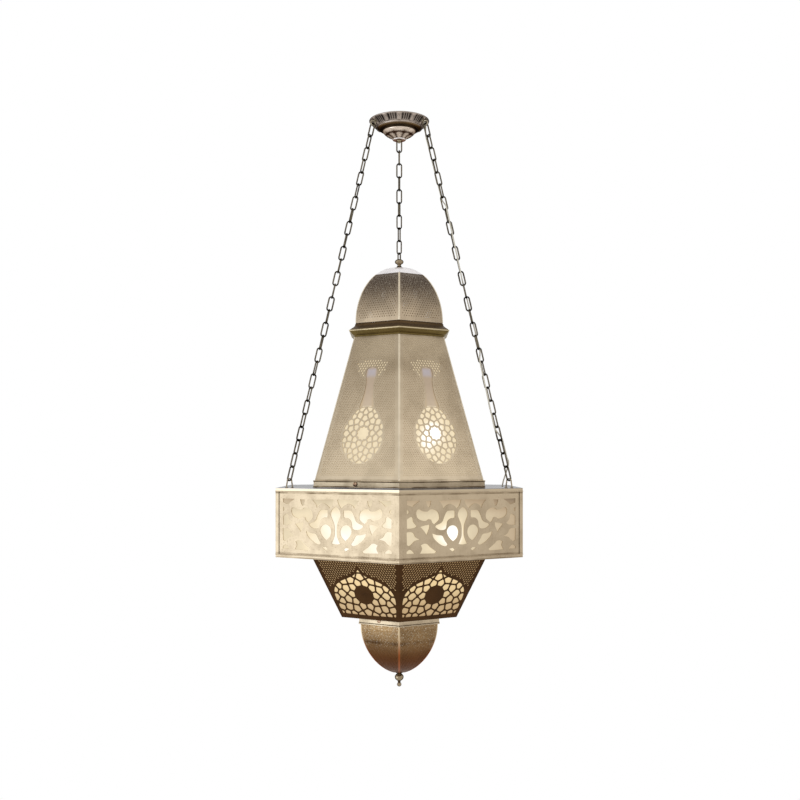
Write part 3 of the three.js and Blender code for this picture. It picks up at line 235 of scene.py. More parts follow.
def clipped(cell, through, outward):
    """The part of a convex polygon behind a line: a corner beyond it gives way to the points where its sides
    cross it."""
    reach = (cell - through) @ outward
    kept = []
    for i in range(len(cell)):
        j = (i + 1) % len(cell)
        if reach[i] <= 0:
            kept.append(cell[i])
        if (reach[i] > 0) != (reach[j] > 0):
            kept.append(cell[i] + (cell[j] - cell[i]) * reach[i] / (reach[i] - reach[j]))
    return np.array(kept) if kept else np.zeros((0, 2))


def rosette_sites(star):
    """Middles of the cells in rings round the star, ten to a ring, in multiples of the star's radius."""
    sites = []
    for reach, start in RING_REACHES_AND_STARTS:
        turn = np.radians(start + 360 / RAYS * np.arange(RAYS))
        sites.append(np.stack([np.sin(turn), np.cos(turn)], 1) * reach * star)
    return np.concatenate(sites)


def rosette_cells(star_height, star, outline, bar):
    """Openings of the rosette: each is the ground nearer to its own middle than to any other, less half a
    bar all round, outside the star's own ring, and inside the outline."""
    centre = np.array([0, star_height])
    middles = rosette_sites(star) + centre
    cells = []
    for middle in middles:
        near = np.linalg.norm(outline - middle, axis=1).min()
        if not inside(middle[None], outline)[0] and near > star:
            continue
        cell = outline
        for other in middles:
            gap = other - middle
            far = np.linalg.norm(gap)
            if 0 < far < 3 * star and len(cell):
                cell = clipped(cell, (middle + other) / 2 - gap / far * bar / 2, gap / far)
        towards = (centre - middle) / np.linalg.norm(centre - middle)
        if len(cell):
            cell = clipped(cell, centre - towards * (1.12 * star + bar / 2), towards)
        reach = np.linalg.norm(cell - middle, axis=1).max() if len(cell) else 0
        if len(cell) > 2 and area(cell) > 0.04 * star * star and reach < 1.6 * star:
            cells.append(rounded(spaced(cell, 0.05 * star), 0.16))
    return cells


def spaced(cell, least):
    """The cell without corners that lie closer than the least distance to the one before."""
    kept = [cell[0]]
    for corner in cell[1:]:
        if np.linalg.norm(corner - kept[-1]) > least:
            kept.append(corner)
    if len(kept) > 3 and np.linalg.norm(kept[0] - kept[-1]) < least:
        kept.pop()
    return np.array(kept)


def rounded(cell, share):
    """A convex cell with each corner cut to two points, the given share of the way along its sides."""
    after = np.roll(cell, -1, 0)
    return np.stack([cell + (after - cell) * share, after - (after - cell) * share], 1).reshape(-1, 2)


def star_loop(height, tip, hollow):
    """A star whose radius swings from tip to hollow and back once for each of its rays."""
    turn = 2 * np.pi * np.arange(4 * RAYS) / (4 * RAYS)
    radius = hollow + (tip - hollow) * (0.5 + 0.5 * np.cos(RAYS * turn))
    return np.stack([radius * np.sin(turn), height + radius * np.cos(turn)], 1)


# Places on the hexagon, and pieces


def level(degrees):
    """The level unit vector at an angle about the Z axis."""
    turn = math.radians(degrees)
    return np.array([math.cos(turn), math.sin(turn), 0])


def face_place(number, reach, height, lean=0.0):
    """Origin and across, up and out directions of face `number`, whose foot line is `reach` from the axis.
    The up direction leans towards the axis by the angle lean, in radians."""
    out, across = level(FACE_STEP * number), level(FACE_STEP * number + 90)
    up = math.cos(lean) * UP - math.sin(lean) * out
    return reach * out + height * UP, across, up, math.cos(lean) * out + math.sin(lean) * UP


def on_plane(flat, place, depth=0.0):
    """Flat points carried onto a face, and moved out from it by the depth."""
    origin, across, up, normal = place
    return origin + flat[:, :1] * across + flat[:, 1:] * up + depth * normal


def walled(outer, inner, triangles):
    """A closed sheet: the triangles on its outer points, the same turned round on its inner points,
    and a wall of quads along every edge that belongs to one triangle only."""
    count = len(outer)
    edges = triangles[:, [0, 1, 1, 2, 2, 0]].reshape(-1, 2)
    _, back, uses = np.unique(np.sort(edges, 1), axis=0, return_inverse=True, return_counts=True)
    rim = edges[uses[back.ravel()] == 1]
    walls = np.stack([rim[:, 1], rim[:, 0], rim[:, 0] + count, rim[:, 1] + count], 1)
    return np.concatenate([outer, inner]), [triangles, triangles[:, ::-1] + count, walls]


def grid_faces(rows, columns, wrap_rows, wrap_columns):
    """Quads of a grid of points numbered row by row, closed on itself where asked."""
    last_row, last_column = rows if wrap_rows else rows - 1, columns if wrap_columns else columns - 1
    i, j = np.meshgrid(np.arange(last_row), np.arange(last_column), indexing="ij")
    here, after = i * columns, (i + 1) % rows * columns
    beside = (j + 1) % columns
    return np.stack([here + j, after + j, after + beside, here + beside], -1).reshape(-1, 4)


def gathered(parts):
    """Several (points, faces) pairs as one, with the faces renumbered."""
    points, faces, count = [], {}, 0
    for part_points, part_faces in parts:
        for group in part_faces if isinstance(part_faces, list) else [part_faces]:
            faces.setdefault(group.shape[1], []).append(group + count)
        points.append(part_points)
        count += len(part_points)
    return np.concatenate(points), [np.concatenate(groups) for groups in faces.values()]


def placed(part, basis, origin):
    """A part carried to an origin with its x, y and z along the rows of the basis."""
    points, faces = part
    return points @ np.asarray(basis) + origin, faces


def add_piece(name, points, faces, look, body="lantern", replaces=(), smooth=False):
    """An object at the origin from points in millimetres and one or more arrays of faces."""
    groups = faces if isinstance(faces, list) else [faces]
    loops = np.concatenate([np.asarray(group, np.int32).ravel() for group in groups])
    sizes = np.concatenate([np.full(len(group), group.shape[1], np.int32) for group in groups])
    mesh = bpy.data.meshes.new(name)
    mesh.vertices.add(len(points))
    mesh.vertices.foreach_set("co", (np.asarray(points, float) * MM).astype(np.float32).ravel())
    mesh.loops.add(len(loops))
    mesh.loops.foreach_set("vertex_index", loops)
    mesh.polygons.add(len(sizes))
    mesh.polygons.foreach_set("loop_start", (np.cumsum(sizes) - sizes).astype(np.int32))
    mesh.update(calc_edges=True)
    mesh.validate()
    mesh.polygons.foreach_set("use_smooth", np.full(len(mesh.polygons), smooth))
    mesh.materials.append(look)
    piece = bpy.data.objects.new(name, mesh)
    bpy.context.scene.collection.objects.link(piece)
    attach(piece, body)
    if replaces:
        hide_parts(*replaces)
    return piece


def keep_value(piece, name, values):
    """Keeps one number for each point of the piece, for its material to read by the name."""
    attribute = piece.data.attributes.new(name, "FLOAT", "POINT")
    attribute.data.foreach_set("value", np.asarray(values, np.float32).ravel())


def face_outwards(piece, merge=False):
    """Turns every face outwards, after merging points that coincide where asked."""
    work = bmesh.new()
    work.from_mesh(piece.data)
    if merge:
        bmesh.ops.remove_doubles(work, verts=work.verts, dist=1e-6)
        bmesh.ops.dissolve_degenerate(work, edges=work.edges, dist=1e-7)
    bmesh.ops.recalc_face_normals(work, faces=work.faces)
    work.to_mesh(piece.data)
    work.free()


def tidy(piece, bevel=None, smooth_angle=None):
    """Merges doubles, turns the faces outwards, and rounds the sharp edges by the bevel's width."""
    face_outwards(piece, merge=True)
    if smooth_angle:
        piece.data.set_sharp_from_angle(angle=math.radians(smooth_angle))
    if bevel:
        edge = piece.modifiers.new("rounded_edges", "BEVEL")
        edge.width = bevel * MM
        edge.segments = 2
        edge.limit_method = "ANGLE"
        edge.angle_limit = math.radians(30)


def turned(profile, sides, start=0.0):
    """A profile of (radius, height) pairs carried round the Z axis: x is radius times the cosine, y the sine.
    It runs from the axis to the axis, or it closes on itself."""
    line = np.asarray(profile, float)
    turn = np.radians(start) + 2 * np.pi * np.arange(sides) / sides
    ring = np.stack([np.cos(turn), np.sin(turn)], 1)
    points = np.empty((len(line), sides, 3))
    points[..., :2] = line[:, None, :1] * ring[None]
    points[..., 2] = line[:, 1:]
    closes = line[0, 0] != 0 or line[-1, 0] != 0
    return points.reshape(-1, 3), grid_faces(len(line), sides, closes, True)


def turned_piece(name, profile, look, sides=48, start=0.0, smooth=True, bevel=None, **rest):
    piece = add_piece(name, *turned(profile, sides, start), look, smooth=smooth, **rest)
    tidy(piece, bevel, smooth_angle=35)


def hexagonal_piece(name, profile, look, bevel, **rest):
    """A profile of (corner radius, height) pairs carried round the six sides, corners at 30, 90 ...
    degrees."""
    turned_piece(name, profile, look, sides=SIDES, start=30, smooth=False, bevel=bevel, **rest)


def moved(radius, height, profile):
    """A profile of (radius, height) pairs moved out by the radius and up by the height."""
    return [(radius + out, height + up) for out, up in profile]


def thick_profile(outline, wall=SHEET):
    """A line of (corner radius, height) pairs and the same line set back by the wall, square to each stretch.
    The setback is measured across the flats."""
    line = np.asarray(outline, float) * [1 / CORNER_FROM_FLAT, 1]
    run = np.diff(line, axis=0)
    run /= np.linalg.norm(run, axis=1)[:, None]
    side = np.stack([run[:, 1], -run[:, 0]], 1)
    mean = (np.concatenate([side[:1], side]) + np.concatenate([side, side[-1:]])) / 2
    mean /= np.maximum(np.sum(mean * mean, 1), 0.3)[:, None]
    back = line + mean * wall
    return np.concatenate([line, back[::-1]]) * [CORNER_FROM_FLAT, 1]


# Materials


class Field:
    """A socket of a shader tree that can be reckoned with: each operator adds a math node."""

    def __init__(self, tree, socket):
        self.tree, self.socket = tree, socket

    def calc(self, operation, other=0.0, clamp=False):
        inputs = {0: self, 1: other}
        return add_node(self.tree, "ShaderNodeMath", inputs, operation=operation, use_clamp=clamp)[0]

    def __add__(self, other):
        return self.calc("ADD", other)

    __radd__ = __add__

    def __sub__(self, other):
        return self.calc("SUBTRACT", other)

    def __rsub__(self, other):
        return self * -1.0 + other

    def __mul__(self, other):
        return self.calc("MULTIPLY", other)

    def __truediv__(self, other):
        return self.calc("DIVIDE", other)

    def __abs__(self):
        return self.calc("ABSOLUTE")

    def clamped(self):
        return self.calc("ADD", 0.0, clamp=True)

    def ramp(self, low, high):
        """0 below the low value and 1 above the high one, smooth between."""
        inputs = {0: self, 1: low, 2: high, 3: 0.0, 4: 1.0}
        return add_node(self.tree, "ShaderNodeMapRange", inputs, interpolation_type="SMOOTHSTEP")[0]


def feed(node, values):
    """Sets inputs of a node to values, or links fields to them."""
    for key, value in values.items():
        if isinstance(value, Field):
            value.tree.links.new(value.socket, node.inputs[key])
        else:
            node.inputs[key].default_value = value


def add_node(tree, kind, inputs=None, **settings):
    """Output fields of a new shader node, by number and by name."""
    made = tree.nodes.new(kind)
    for key, value in settings.items():
        setattr(made, key, value)
    feed(made, inputs or {})
    return {key: Field(tree, socket) for i, socket in enumerate(made.outputs) for key in (i, socket.name)}


def blend(share, a, b, kind="MIX"):
    """Colour a where the share is 0 and b where it is 1, or b put on a in another way."""
    tree = next(value.tree for value in (share, a, b) if isinstance(value, Field))
    return add_node(tree, "ShaderNodeMix", {0: share, 6: a, 7: b}, data_type="RGBA", blend_type=kind)[2]


def object_place(tree):
    return add_node(tree, "ShaderNodeTexCoord")["Object"]


def noise(tree, scale, detail=3.0, roughness=0.5, place=None):
    inputs = {"Vector": place or object_place(tree), "Scale": scale, "Detail": detail, "Roughness": roughness}
    return add_node(tree, "ShaderNodeTexNoise", inputs)[0]


def kept_value(tree, name):
    """The piece's own value that keep_value gave it."""
    return add_node(tree, "ShaderNodeAttribute", attribute_name=name)["Fac"]


def new_group(name, inputs):
    """An empty shader group and its input fields: a colour where the value is a tuple, else a number."""
    tree = bpy.data.node_groups.new(name, "ShaderNodeTree")
    for label, value in inputs.items():
        kind = "NodeSocketColor" if isinstance(value, tuple) else "NodeSocketFloat"
        tree.interface.new_socket(label, in_out="INPUT", socket_type=kind).default_value = value
    return tree, add_node(tree, "NodeGroupInput")


def put_out(tree, **fields):
    """Gives the group one output for each field: Colour is a colour and the others are numbers."""
    for label in fields:
        kind = "NodeSocketColor" if label == "Colour" else "NodeSocketFloat"
        tree.interface.new_socket(label, in_out="OUTPUT", socket_type=kind)
    feed(tree.nodes.new("NodeGroupOutput"), fields)
    return tree


def hexagon_group():
    """Where a point lies on the hexagon, in millimetres: Across along its own face, and Height. Across is
    the radius times the sine of the angle about Z less its nearest multiple of 60 degrees."""
    tree, _ = new_group("hexagon_place", {})
    parts = add_node(tree, "ShaderNodeSeparateXYZ", {0: object_place(tree)})
    x, y, z = parts[0], parts[1], parts[2]
    turn = y.calc("ARCTAN2", x)
    step = math.radians(FACE_STEP)
    own = turn - (turn / step).calc("ROUND") * step
    radius = (x * x + y * y).calc("SQRT")
    return put_out(tree, Across=radius * own.calc("SINE") / MM, Height=z / MM)


def patina_group():
    """Aged metal: cloudy patches, fine drawn lines and small specks darken the colour and roughen it.
    Grime is a mask from outside for where the metal is darkest, which the looks below fill mostly with painted
    shade; Wear is one where it is rubbed bright."""
    tree, given = new_group("patina", {
        "Colour": (0.5, 0.4, 0.3, 1), "Dark": (0.1, 0.07, 0.04, 1), "Bright": (0.8, 0.75, 0.65, 1),
        "Clouds": 0.3, "Specks": 0.3, "Darkening": 0.0, "Wear": 0.0, "Roughness": 0.4})
    clouds = noise(tree, 28.0, 4.0, 0.6).ramp(0.38, 0.72)
    inputs = {"Vector": object_place(tree), "Scale": (900.0, 900.0, 60.0)}
    drawn = add_node(tree, "ShaderNodeMapping", inputs)[0]
    lines = noise(tree, 1.0, 2.0, place=drawn)
    specks = noise(tree, 420.0, 3.0, 0.7).ramp(0.56, 0.7)
    # The Grime mask adds the looks' painted shade to the patina's own darker patches.
    share = clouds * given["Clouds"] + specks * given["Specks"] + (lines - 0.5) * 0.16 + given["Darkening"]
    share = share.clamped()
    colour = blend(given["Wear"], blend(share, given["Colour"], given["Dark"]), given["Bright"])
    rough = given["Roughness"] + share * 0.25 - given["Wear"] * 0.12
    return put_out(tree, Colour=colour, Roughness=rough.clamped(), Height=lines * 0.3 - specks * 0.7)


HEXAGON = hexagon_group()
PATINA = patina_group()


def hexagon_place(tree):
    return add_node(tree, "ShaderNodeGroup", node_tree=HEXAGON)


def new_look(name):
    """A material, its tree and its Principled shader."""
    look = bpy.data.materials.new(name)
    look.use_nodes = True
    return look, look.node_tree, next(n for n in look.node_tree.nodes if n.type == "BSDF_PRINCIPLED")


def srgb(r, g, b):
    """A colour of the photograph, 0 to 255, as linear light."""
    return tuple(((v / 255 + 0.055) / 1.055) ** 2.4 if v > 10 else v / 255 / 12.92 for v in (r, g, b)) + (1.0,)


def patina_look(name, colour, dark, bright, roughness, clouds=0.25, specks=0.25, darkening=None, wear=None,
                bump=0.15, edge=0.0):
    """A metal finish, in colours of 0 to 255. The colour may be a function of the height's field, and so
    are grime and wear, which give masks; grime mostly brings painted shade. Edge is how far painted shade
    darkens the colour where the surface turns away from the eye, in place of darker reflections at the rims."""
    look, tree, shader = new_look(name)
    height, dark = hexagon_place(tree)["Height"], srgb(*dark)
    finish = add_node(tree, "ShaderNodeGroup", {
        "Colour": colour(height) if callable(colour) else srgb(*colour), "Dark": dark, "Bright": srgb(*bright),
        "Clouds": clouds, "Specks": specks, "Roughness": roughness,
        "Darkening": darkening(height) if darkening else 0.0, "Wear": wear(height) if wear else 0.0}, node_tree=PATINA)
    shown = finish["Colour"]
    # Painted shade: the colour darkens towards the rims, where the surface turns away from the eye.
    if edge:
        feed(shader, {"Specular Tint": dark})
        facing = add_node(tree, "ShaderNodeLayerWeight", {"Blend": 0.5})["Facing"]
        shown = blend(facing.ramp(0.25, 0.8) * edge, shown, dark)
    raised = {"Height": finish["Height"], "Strength": bump, "Distance": 0.0004}
    feed(shader, {"Base Color": shown, "Roughness": finish["Roughness"], "Metallic": 1.0,
                  "Normal": add_node(tree, "ShaderNodeBump", raised)[0]})
    return look


def fade(low_colour, high_colour, low, high):
    """A colour that runs from one to the other between two heights."""
    return lambda height: blend(height.ramp(low, high), srgb(*low_colour), srgb(*high_colour))


def level_lines(*lines):
    """A mask of soft level lines, full at each given height, fading to 0 over the given half-width on
    either side and broken up by noise."""

    def mask(height):
        broken = noise(height.tree, 34.0, 3.0).ramp(0.3, 0.62)
        total = sum((1.0 - abs(height - middle).ramp(0.0, half)) * strength for middle, half, strength in lines)
        return (total * (broken * 1.1 + 0.25)).clamped()

    return mask


def shade_mask(strength):
    """The piece's own shade, times the strength."""
    return lambda height: (kept_value(height.tree, "shade") * strength).clamped()


def bright_specks(scale, share, low, high):
    """A mask of small bright specks that fade in between two heights."""
    return lambda height: noise(height.tree, scale, 2.0, 0.7).ramp(0.55, 0.68) * share * height.ramp(low, high)


def film_look():
    """Frosted film whose glow is painted: it shines by its own emission in place of the bulbs' light behind it,
    and its own value says how bright each place is. It is orange where it is dim, cream about the middle and
    white where it is hottest, deeper below the band, and pale in the necks of the cone."""
    look, tree, shader = new_look("frosted_film")
    glow, place = kept_value(tree, "glow"), hexagon_place(tree)
    height = place["Height"]
    colour = blend(glow.ramp(0.25, 0.7), (1.0, 0.7, 0.4, 1), (1.0, 0.84, 0.56, 1))
    colour = blend(glow.ramp(0.8, 1.15), colour, (1.0, 0.97, 0.88, 1))
    amber = blend(1.0, colour, (1.0, 0.88, 0.66, 1), "MULTIPLY")
    colour = blend(height.ramp(BAND_FOOT - 6, BAND_FOOT - 2), amber, colour)
    beside = abs(place["Across"]).ramp(4, 11)
    above = abs(height - (NECK_TOP - 6)).ramp(2, 10)
    colour = blend(above.calc("MAXIMUM", beside), (1.0, 0.9, 0.96, 1), colour)
    along = abs(height - (NECK_TOP - 34)).ramp(20, 32)
    colour = blend((1.0 - along.calc("MAXIMUM", beside)) * 0.3, colour, (1.0, 0.84, 0.74, 1))
    lit = glow * (noise(tree, 160.0, 2.0) * 0.14 + 0.93)
    feed(shader, {"Emission Color": blend(1.0, colour, lit, "MULTIPLY"), "Emission Strength": 1.0,
                  "Base Color": (0.12, 0.1, 0.08, 1), "Roughness": 0.8})
    return look


def ceramic_look():
    """White glazed ceramic with faint fire marks."""
    look, tree, shader = new_look("lamp_ceramic")
    marks = noise(tree, 240.0).ramp(0.6, 0.75) * 0.3
    feed(shader, {"Base Color": blend(marks, (0.82, 0.8, 0.74, 1), (0.6, 0.55, 0.46, 1)), "Roughness": 0.22})
    return look


def bulb_look():
    """Frosted glass, lit: a warm glow that is a little stronger over the filament's height."""
    look, tree, shader = new_look("bulb_glass")
    filament = top_of("bulb_1") - 35
    lit = 1.0 - abs(hexagon_place(tree)["Height"] - filament).ramp(10.0, 80.0)
    feed(shader, {"Emission Color": blend(lit, (0.5, 0.4, 0.26, 1), (1.0, 0.93, 0.78, 1)),
                  "Emission Strength": 1.2, "Base Color": (0.9, 0.88, 0.84, 1), "Roughness": 0.35})
    return look


def cord_look():
    """Clear gold-tinted jacket over twisted wires: fine slanting bands show through it."""
    look, tree, shader = new_look("cord_plastic")
    wave = {"Vector": object_place(tree), "Scale": 240.0, "Distortion": 1.5}
    bands = add_node(tree, "ShaderNodeTexWave", wave, bands_direction="DIAGONAL")["Fac"]
    feed(shader, {"Base Color": blend(bands, srgb(206, 196, 170), srgb(232, 226, 208)), "Roughness": 0.25,
                  "Coat Weight": 0.5})
    return look


LIP_FOOT = BAND_TOP + FIT
NECK_TOP = CONE_FOOT + 170
CANOPY_COVE = -12.4
CREAM = (236, 228, 208)

# Name, colour, darkest and brightest colour, roughness, clouds and specks
# Nickel's Grime is the piece's kept shade: on the chains, painted shade at the link ends.
NICKEL = patina_look("nickel", (164, 153, 132), (30, 25, 18), (235, 230, 220), 0.26, 0.3, 0.3,
                     darkening=shade_mask(0.85), edge=0.2)
OLD_NICKEL = patina_look("old_nickel", (160, 144, 118), (30, 24, 14), (220, 210, 190), 0.22, 0.3, 0.2,
                         edge=1.0)
COPPER = patina_look("copper_screw", (196, 164, 136), (104, 72, 50), (220, 180, 150), 0.35, edge=0.8)
# Painted shade: brown below the cove's height, and the relief's kept shade darkens its flutes, cove and rim.
CANOPY_RELIEF = patina_look(
    "canopy_relief", fade((114, 92, 66), (178, 164, 152), CANOPY_COVE, CANOPY_COVE + 1.6),
    (26, 19, 16), (225, 215, 205), 0.32, 0.25, 0.2, darkening=shade_mask(1.0), edge=0.5)
# Painted shade: the relief's kept shade darkens the hollows between and under the leaves.
LEAF_RELIEF = patina_look("leaf_relief", (218, 200, 182), (62, 42, 30), (240, 228, 210), 0.3,
                          0.2, 0.2, darkening=shade_mask(1.0), edge=0.4)
COLLAR_BRIGHT = patina_look("collar_bright", (238, 231, 226), (112, 76, 54), CREAM, 0.2,
                            0.1, 0.05, edge=0.7)
CAP_BRASS = patina_look("cap_brass", (232, 228, 228), (160, 154, 152), CREAM, 0.3, 0.15, 0.05)
DOME_BRASS = patina_look(
    "dome_brass", fade((184, 166, 141), (96, 83, 71), DOME_FOOT + 4, DOME_FOOT + 66),
    (54, 44, 34), CREAM, 0.45, 0.25, 0.12, wear=bright_specks(520.0, 0.3, DOME_FOOT + 20, DOME_FOOT + 40))
OLD_BRASS = patina_look(
    "old_brass", fade((116, 98, 56), (84, 66, 44), MOULDING_FOOT + 6, MOULDING_FOOT + 14),
    (42, 32, 16), (186, 170, 120), 0.42, 0.3, 0.3)
RIDGE_BRASS = patina_look("ridge_brass", (190, 174, 140), (120, 102, 66), CREAM, 0.35)
# Painted shade: the cone darkens towards its head under the moulding, and darker lines run along its foot and
# head where it meets the lip and the moulding.
CONE_BRASS = patina_look(
    "cone_brass", fade((207, 190, 163), (174, 158, 134), CONE_FOOT + 6, CONE_HEAD - 30),
    (110, 92, 66), CREAM, 0.42, 0.2, 0.12,
    darkening=level_lines((CONE_FOOT, 3, 0.4), (CONE_HEAD - 46, 26, 0.12), (CONE_HEAD, 4, 0.3)))
SEAM_BRASS = patina_look("seam_brass", (212, 198, 174), (140, 122, 94), CREAM, 0.38, 0.25, 0.15)
# Painted shade: dark lines along the lip's top and foot, where it meets the cone and the plate.
LIP_BRASS = patina_look(
    "lip_brass", (194, 176, 148), (92, 70, 44), CREAM, 0.4, 0.3, 0.25,
    darkening=level_lines((LIP_TOP - 1.6, 1.4, 0.8), (LIP_FOOT + 1.2, 1.4, 0.8)))
# Painted shade: dark level lines either side of the top bead, above the foot bead and along the foot.
BAND_BRASS = patina_look(
    "band_brass", (185, 167, 140), (104, 84, 60), CREAM, 0.4, 0.25, 0.2,
    darkening=level_lines((BAND_TOP - 7, 1.6, 0.55), (BAND_FOOT + 7, 1.6, 0.4), (BAND_FOOT + 1, 1.5, 0.4),
                      (BAND_TOP - 2.4, 1.0, 0.35)))
PLATE_GREY = patina_look(
    "plate_grey", fade((188, 170, 142), (128, 128, 134), BAND_TOP - 0.8, BAND_TOP - 0.2),
    (104, 104, 110), (190, 190, 196), 0.14, 0.2, 0.1, bump=0.04, edge=0.35)
BRONZE = patina_look("bronze", (70, 46, 23), (30, 18, 8), (150, 112, 66), 0.42, 0.3, 0.25)
LOWER_BRASS = patina_look(
    "lower_brass",
    fade((92, 50, 8), (142, 114, 78), LOWER_DOME_TOP - 62, LOWER_DOME_TOP - 10),
    (56, 26, 2), CREAM, 0.42, 0.2, 0.35, darkening=level_lines((LOWER_DOME_TOP - 27, 5, 0.4)),
    wear=bright_specks(700.0, 0.5, LOWER_DOME_TOP - 50, LOWER_DOME_TOP - 14))
LOWER_SEAM = patina_look(
    "lower_seam",
    fade((146, 76, 30), (206, 184, 148), LOWER_DOME_TOP - 48, LOWER_DOME_TOP - 8), (90, 54, 22), CREAM, 0.36)
STEEL = patina_look("zinc_steel", (160, 161, 164), (90, 90, 92), (210, 210, 212), 0.4)
CERAMIC = ceramic_look()
BULB_GLASS = bulb_look()
CORD_PLASTIC = cord_look()
GLOW_FILM = film_look()


# Camera and light


def put_in_scene(name, data, location):
    """An object for a camera or a lamp at a place in metres."""
    made = bpy.data.objects.new(name, data)
    made.location = location
    bpy.context.scene.collection.objects.link(made)
    return made


def make_camera():
    """The photograph's view: level, along +Y, with the frame shifted down past the lantern's middle."""
    lens = bpy.data.cameras.new("camera")
    lens.lens = CAMERA_LENS
    lens.sensor_width = 36
    lens.shift_x, lens.shift_y = CAMERA_SHIFT
    lens.clip_start, lens.clip_end = 0.05, 50
    camera = put_in_scene("camera", lens, (0, -CAMERA_DISTANCE * MM, CAMERA_HEIGHT * MM))
    camera.rotation_euler = (math.radians(90), 0, 0)
    bpy.context.scene.camera = camera


def make_world():
    """White where the camera, a reflection or a look through glass meets it, and light grey for all that it
    lights."""
    world = bpy.data.worlds.new("studio")
    bpy.context.scene.world = world
    world.use_nodes = True
    path = add_node(world.node_tree, "ShaderNodeLightPath")
    seen = path["Is Camera Ray"] + path["Is Glossy Ray"] + path["Is Transmission Ray"]
    background = next(n for n in world.node_tree.nodes if n.type == "BACKGROUND")
    feed(background, {"Color": blend(seen.clamped(), (0.62, 0.62, 0.64, 1), (1, 1, 1, 1)), "Strength": 1.0})


def make_lamp(name, place, size, power, colour):
    """A square area lamp that faces the lantern's middle."""
    light = bpy.data.lights.new(name, "AREA")
    light.size = size
    light.energy = power
    light.color = colour
    aim = Vector((0, 0, -0.55)) - Vector(place)
    put_in_scene(name, light, place).rotation_euler = aim.to_track_quat("-Z", "Y").to_euler()


make_camera()
make_world()
make_lamp("key", (-2.5, -1.45, -1.05), size=1.8, power=22, colour=(0.78, 0.88, 1.0))
make_lamp("fill", (2.4, -1.5, 0.7), size=1.6, power=2, colour=(1.0, 0.96, 0.93))
bpy.context.scene.view_settings.view_transform = "Standard"


# Chains and their fittings


def turned_about(vector, axis, angle):
    """A vector turned about a unit axis by the angle in radians, by Rodrigues' formula."""
    return (vector * math.cos(angle) + np.cross(axis, vector) * math.sin(angle)
            + axis * np.dot(axis, vector) * (1 - math.cos(angle)))


class Chain:
    """Where a chain hangs. Its plane holds the directions away from the lantern's axis, across, and up. Its
    links are spaced as bent wire allows, wider where a crossing hinges, and turn steadily from the first
    one's direction."""

    def __init__(self, azimuth, first, twist, hinges, parts):
        self.plane = np.array([level(azimuth), level(azimuth + 90), UP])
        self.run, self.hook = RUN @ self.plane, HOOK_PIVOT @ self.plane
        spacing = np.array([OPEN_SPACING if i in hinges else FUSED_SPACING for i in range(1, LINK_COUNT)])
        self.length = (SPAN + spacing.sum() + OPEN_SPACING) / LINK_COUNT
        start = (self.length - OPEN_SPACING) / 2
        self.middles = np.concatenate([[start], start + np.cumsum(self.length - spacing)])
        side = level(first) - self.run * np.dot(level(first), self.run)
        self.first = side / np.linalg.norm(side)
        self.twist = math.radians(twist) / (LINK_COUNT - 1)
        self.hinges, self.parts = hinges, parts

    def across(self, number, extra):
        """The direction across link `number`, counted from 0, and turned on by an extra angle in radians."""
        return turned_about(self.first, -self.run, number * self.twist + extra)


CHAINS = {
    "right": Chain(-30, 30, -82, (1,), ("_top", "")),
    "left": Chain(210, 150, 82, (1,), ("_top", "")),
    "back": Chain(90, 0, 90, (1, LINK_COUNT - 1), ("_top", "", "_end")),
}


def wire_loop(length, width, wire, bend=8, around=8):
    """A long link in the x-y plane: two half circles as far apart as the straight sides are long, in round
    wire. A point is the centre line plus the wire's radius times cosine outwards and sine along z."""
    turn = np.linspace(0, np.pi, bend + 1)
    turn = np.concatenate([turn, turn + np.pi])[:, None]
    outward = np.concatenate([np.cos(turn), np.sin(turn), 0 * turn], 1)
    lift = np.where(np.arange(len(turn)) <= bend, 1, -1)[:, None] * (length - width) / 2
    centre = outward * width / 2 + lift * [0, 1, 0]
    section = (2 * np.pi * np.arange(around) / around)[None, :, None]
    points = centre[:, None] + wire / 2 * np.cos(section) * outward[:, None] + wire / 2 * np.sin(section) * UP
    return points.reshape(-1, 3), grid_faces(len(turn), around, True, True)


def make_chain(name, chain):
    """The links of a chain, one piece for each of its bodies. A link's ends, where it hooks into the next,
    are darkened with painted shade.
    """
    link = wire_loop(chain.length, LINK_WIDTH, WIRE)
    links = []
    for i, middle in enumerate(chain.middles):
        across = chain.across(i, i * math.pi / 2)
        basis = [across, -chain.run, np.cross(across, -chain.run)]
        links.append(placed(link, basis, chain.hook + chain.run * middle))
    # Painted shade at each link's ends, where the links hook into each other.
    shade = np.clip((np.abs(link[0][:, 1]) - chain.length / 2 + 6.5) / 4, 0, 1)
    breaks = [0, *chain.hinges, LINK_COUNT]
    for part, low, high in zip(chain.parts, breaks, breaks[1:]):
        node = f"chain_{name}{part}"
        piece = add_piece(f"links_{name}{part}", *gathered(links[low:high]), NICKEL, body=node, replaces=[node],
                          smooth=True)
        keep_value(piece, "shade", np.tile(shade, high - low))
        tidy(piece)


for chain_name, chain in CHAINS.items():
    make_chain(chain_name, chain)

CANOPY_RIM = np.array([47.8, 0, -1.0])
SLOPE = (9.8, 9.0)
SLOPE_OUT = np.array([SLOPE[1], 0, -SLOPE[0]]) / math.hypot(*SLOPE)
HOOK_CENTRE = HOOK_PIVOT - RUN * (LINK_WIDTH - OPEN_SPACING) / 2
EYELET_CROWN = EYELET_PIVOT - RUN * OPEN_SPACING / 2


def rod_along(start, axis, profile, around=16):
    """A turned shape whose profile of (radius, distance) pairs runs from start along a unit axis."""
    side = np.cross(axis, [0, 1, 0] if abs(axis[1]) < 0.9 else [1, 0, 0])
    side /= np.linalg.norm(side)
    return placed(turned(profile, around), [side, np.cross(axis, side), axis], start)


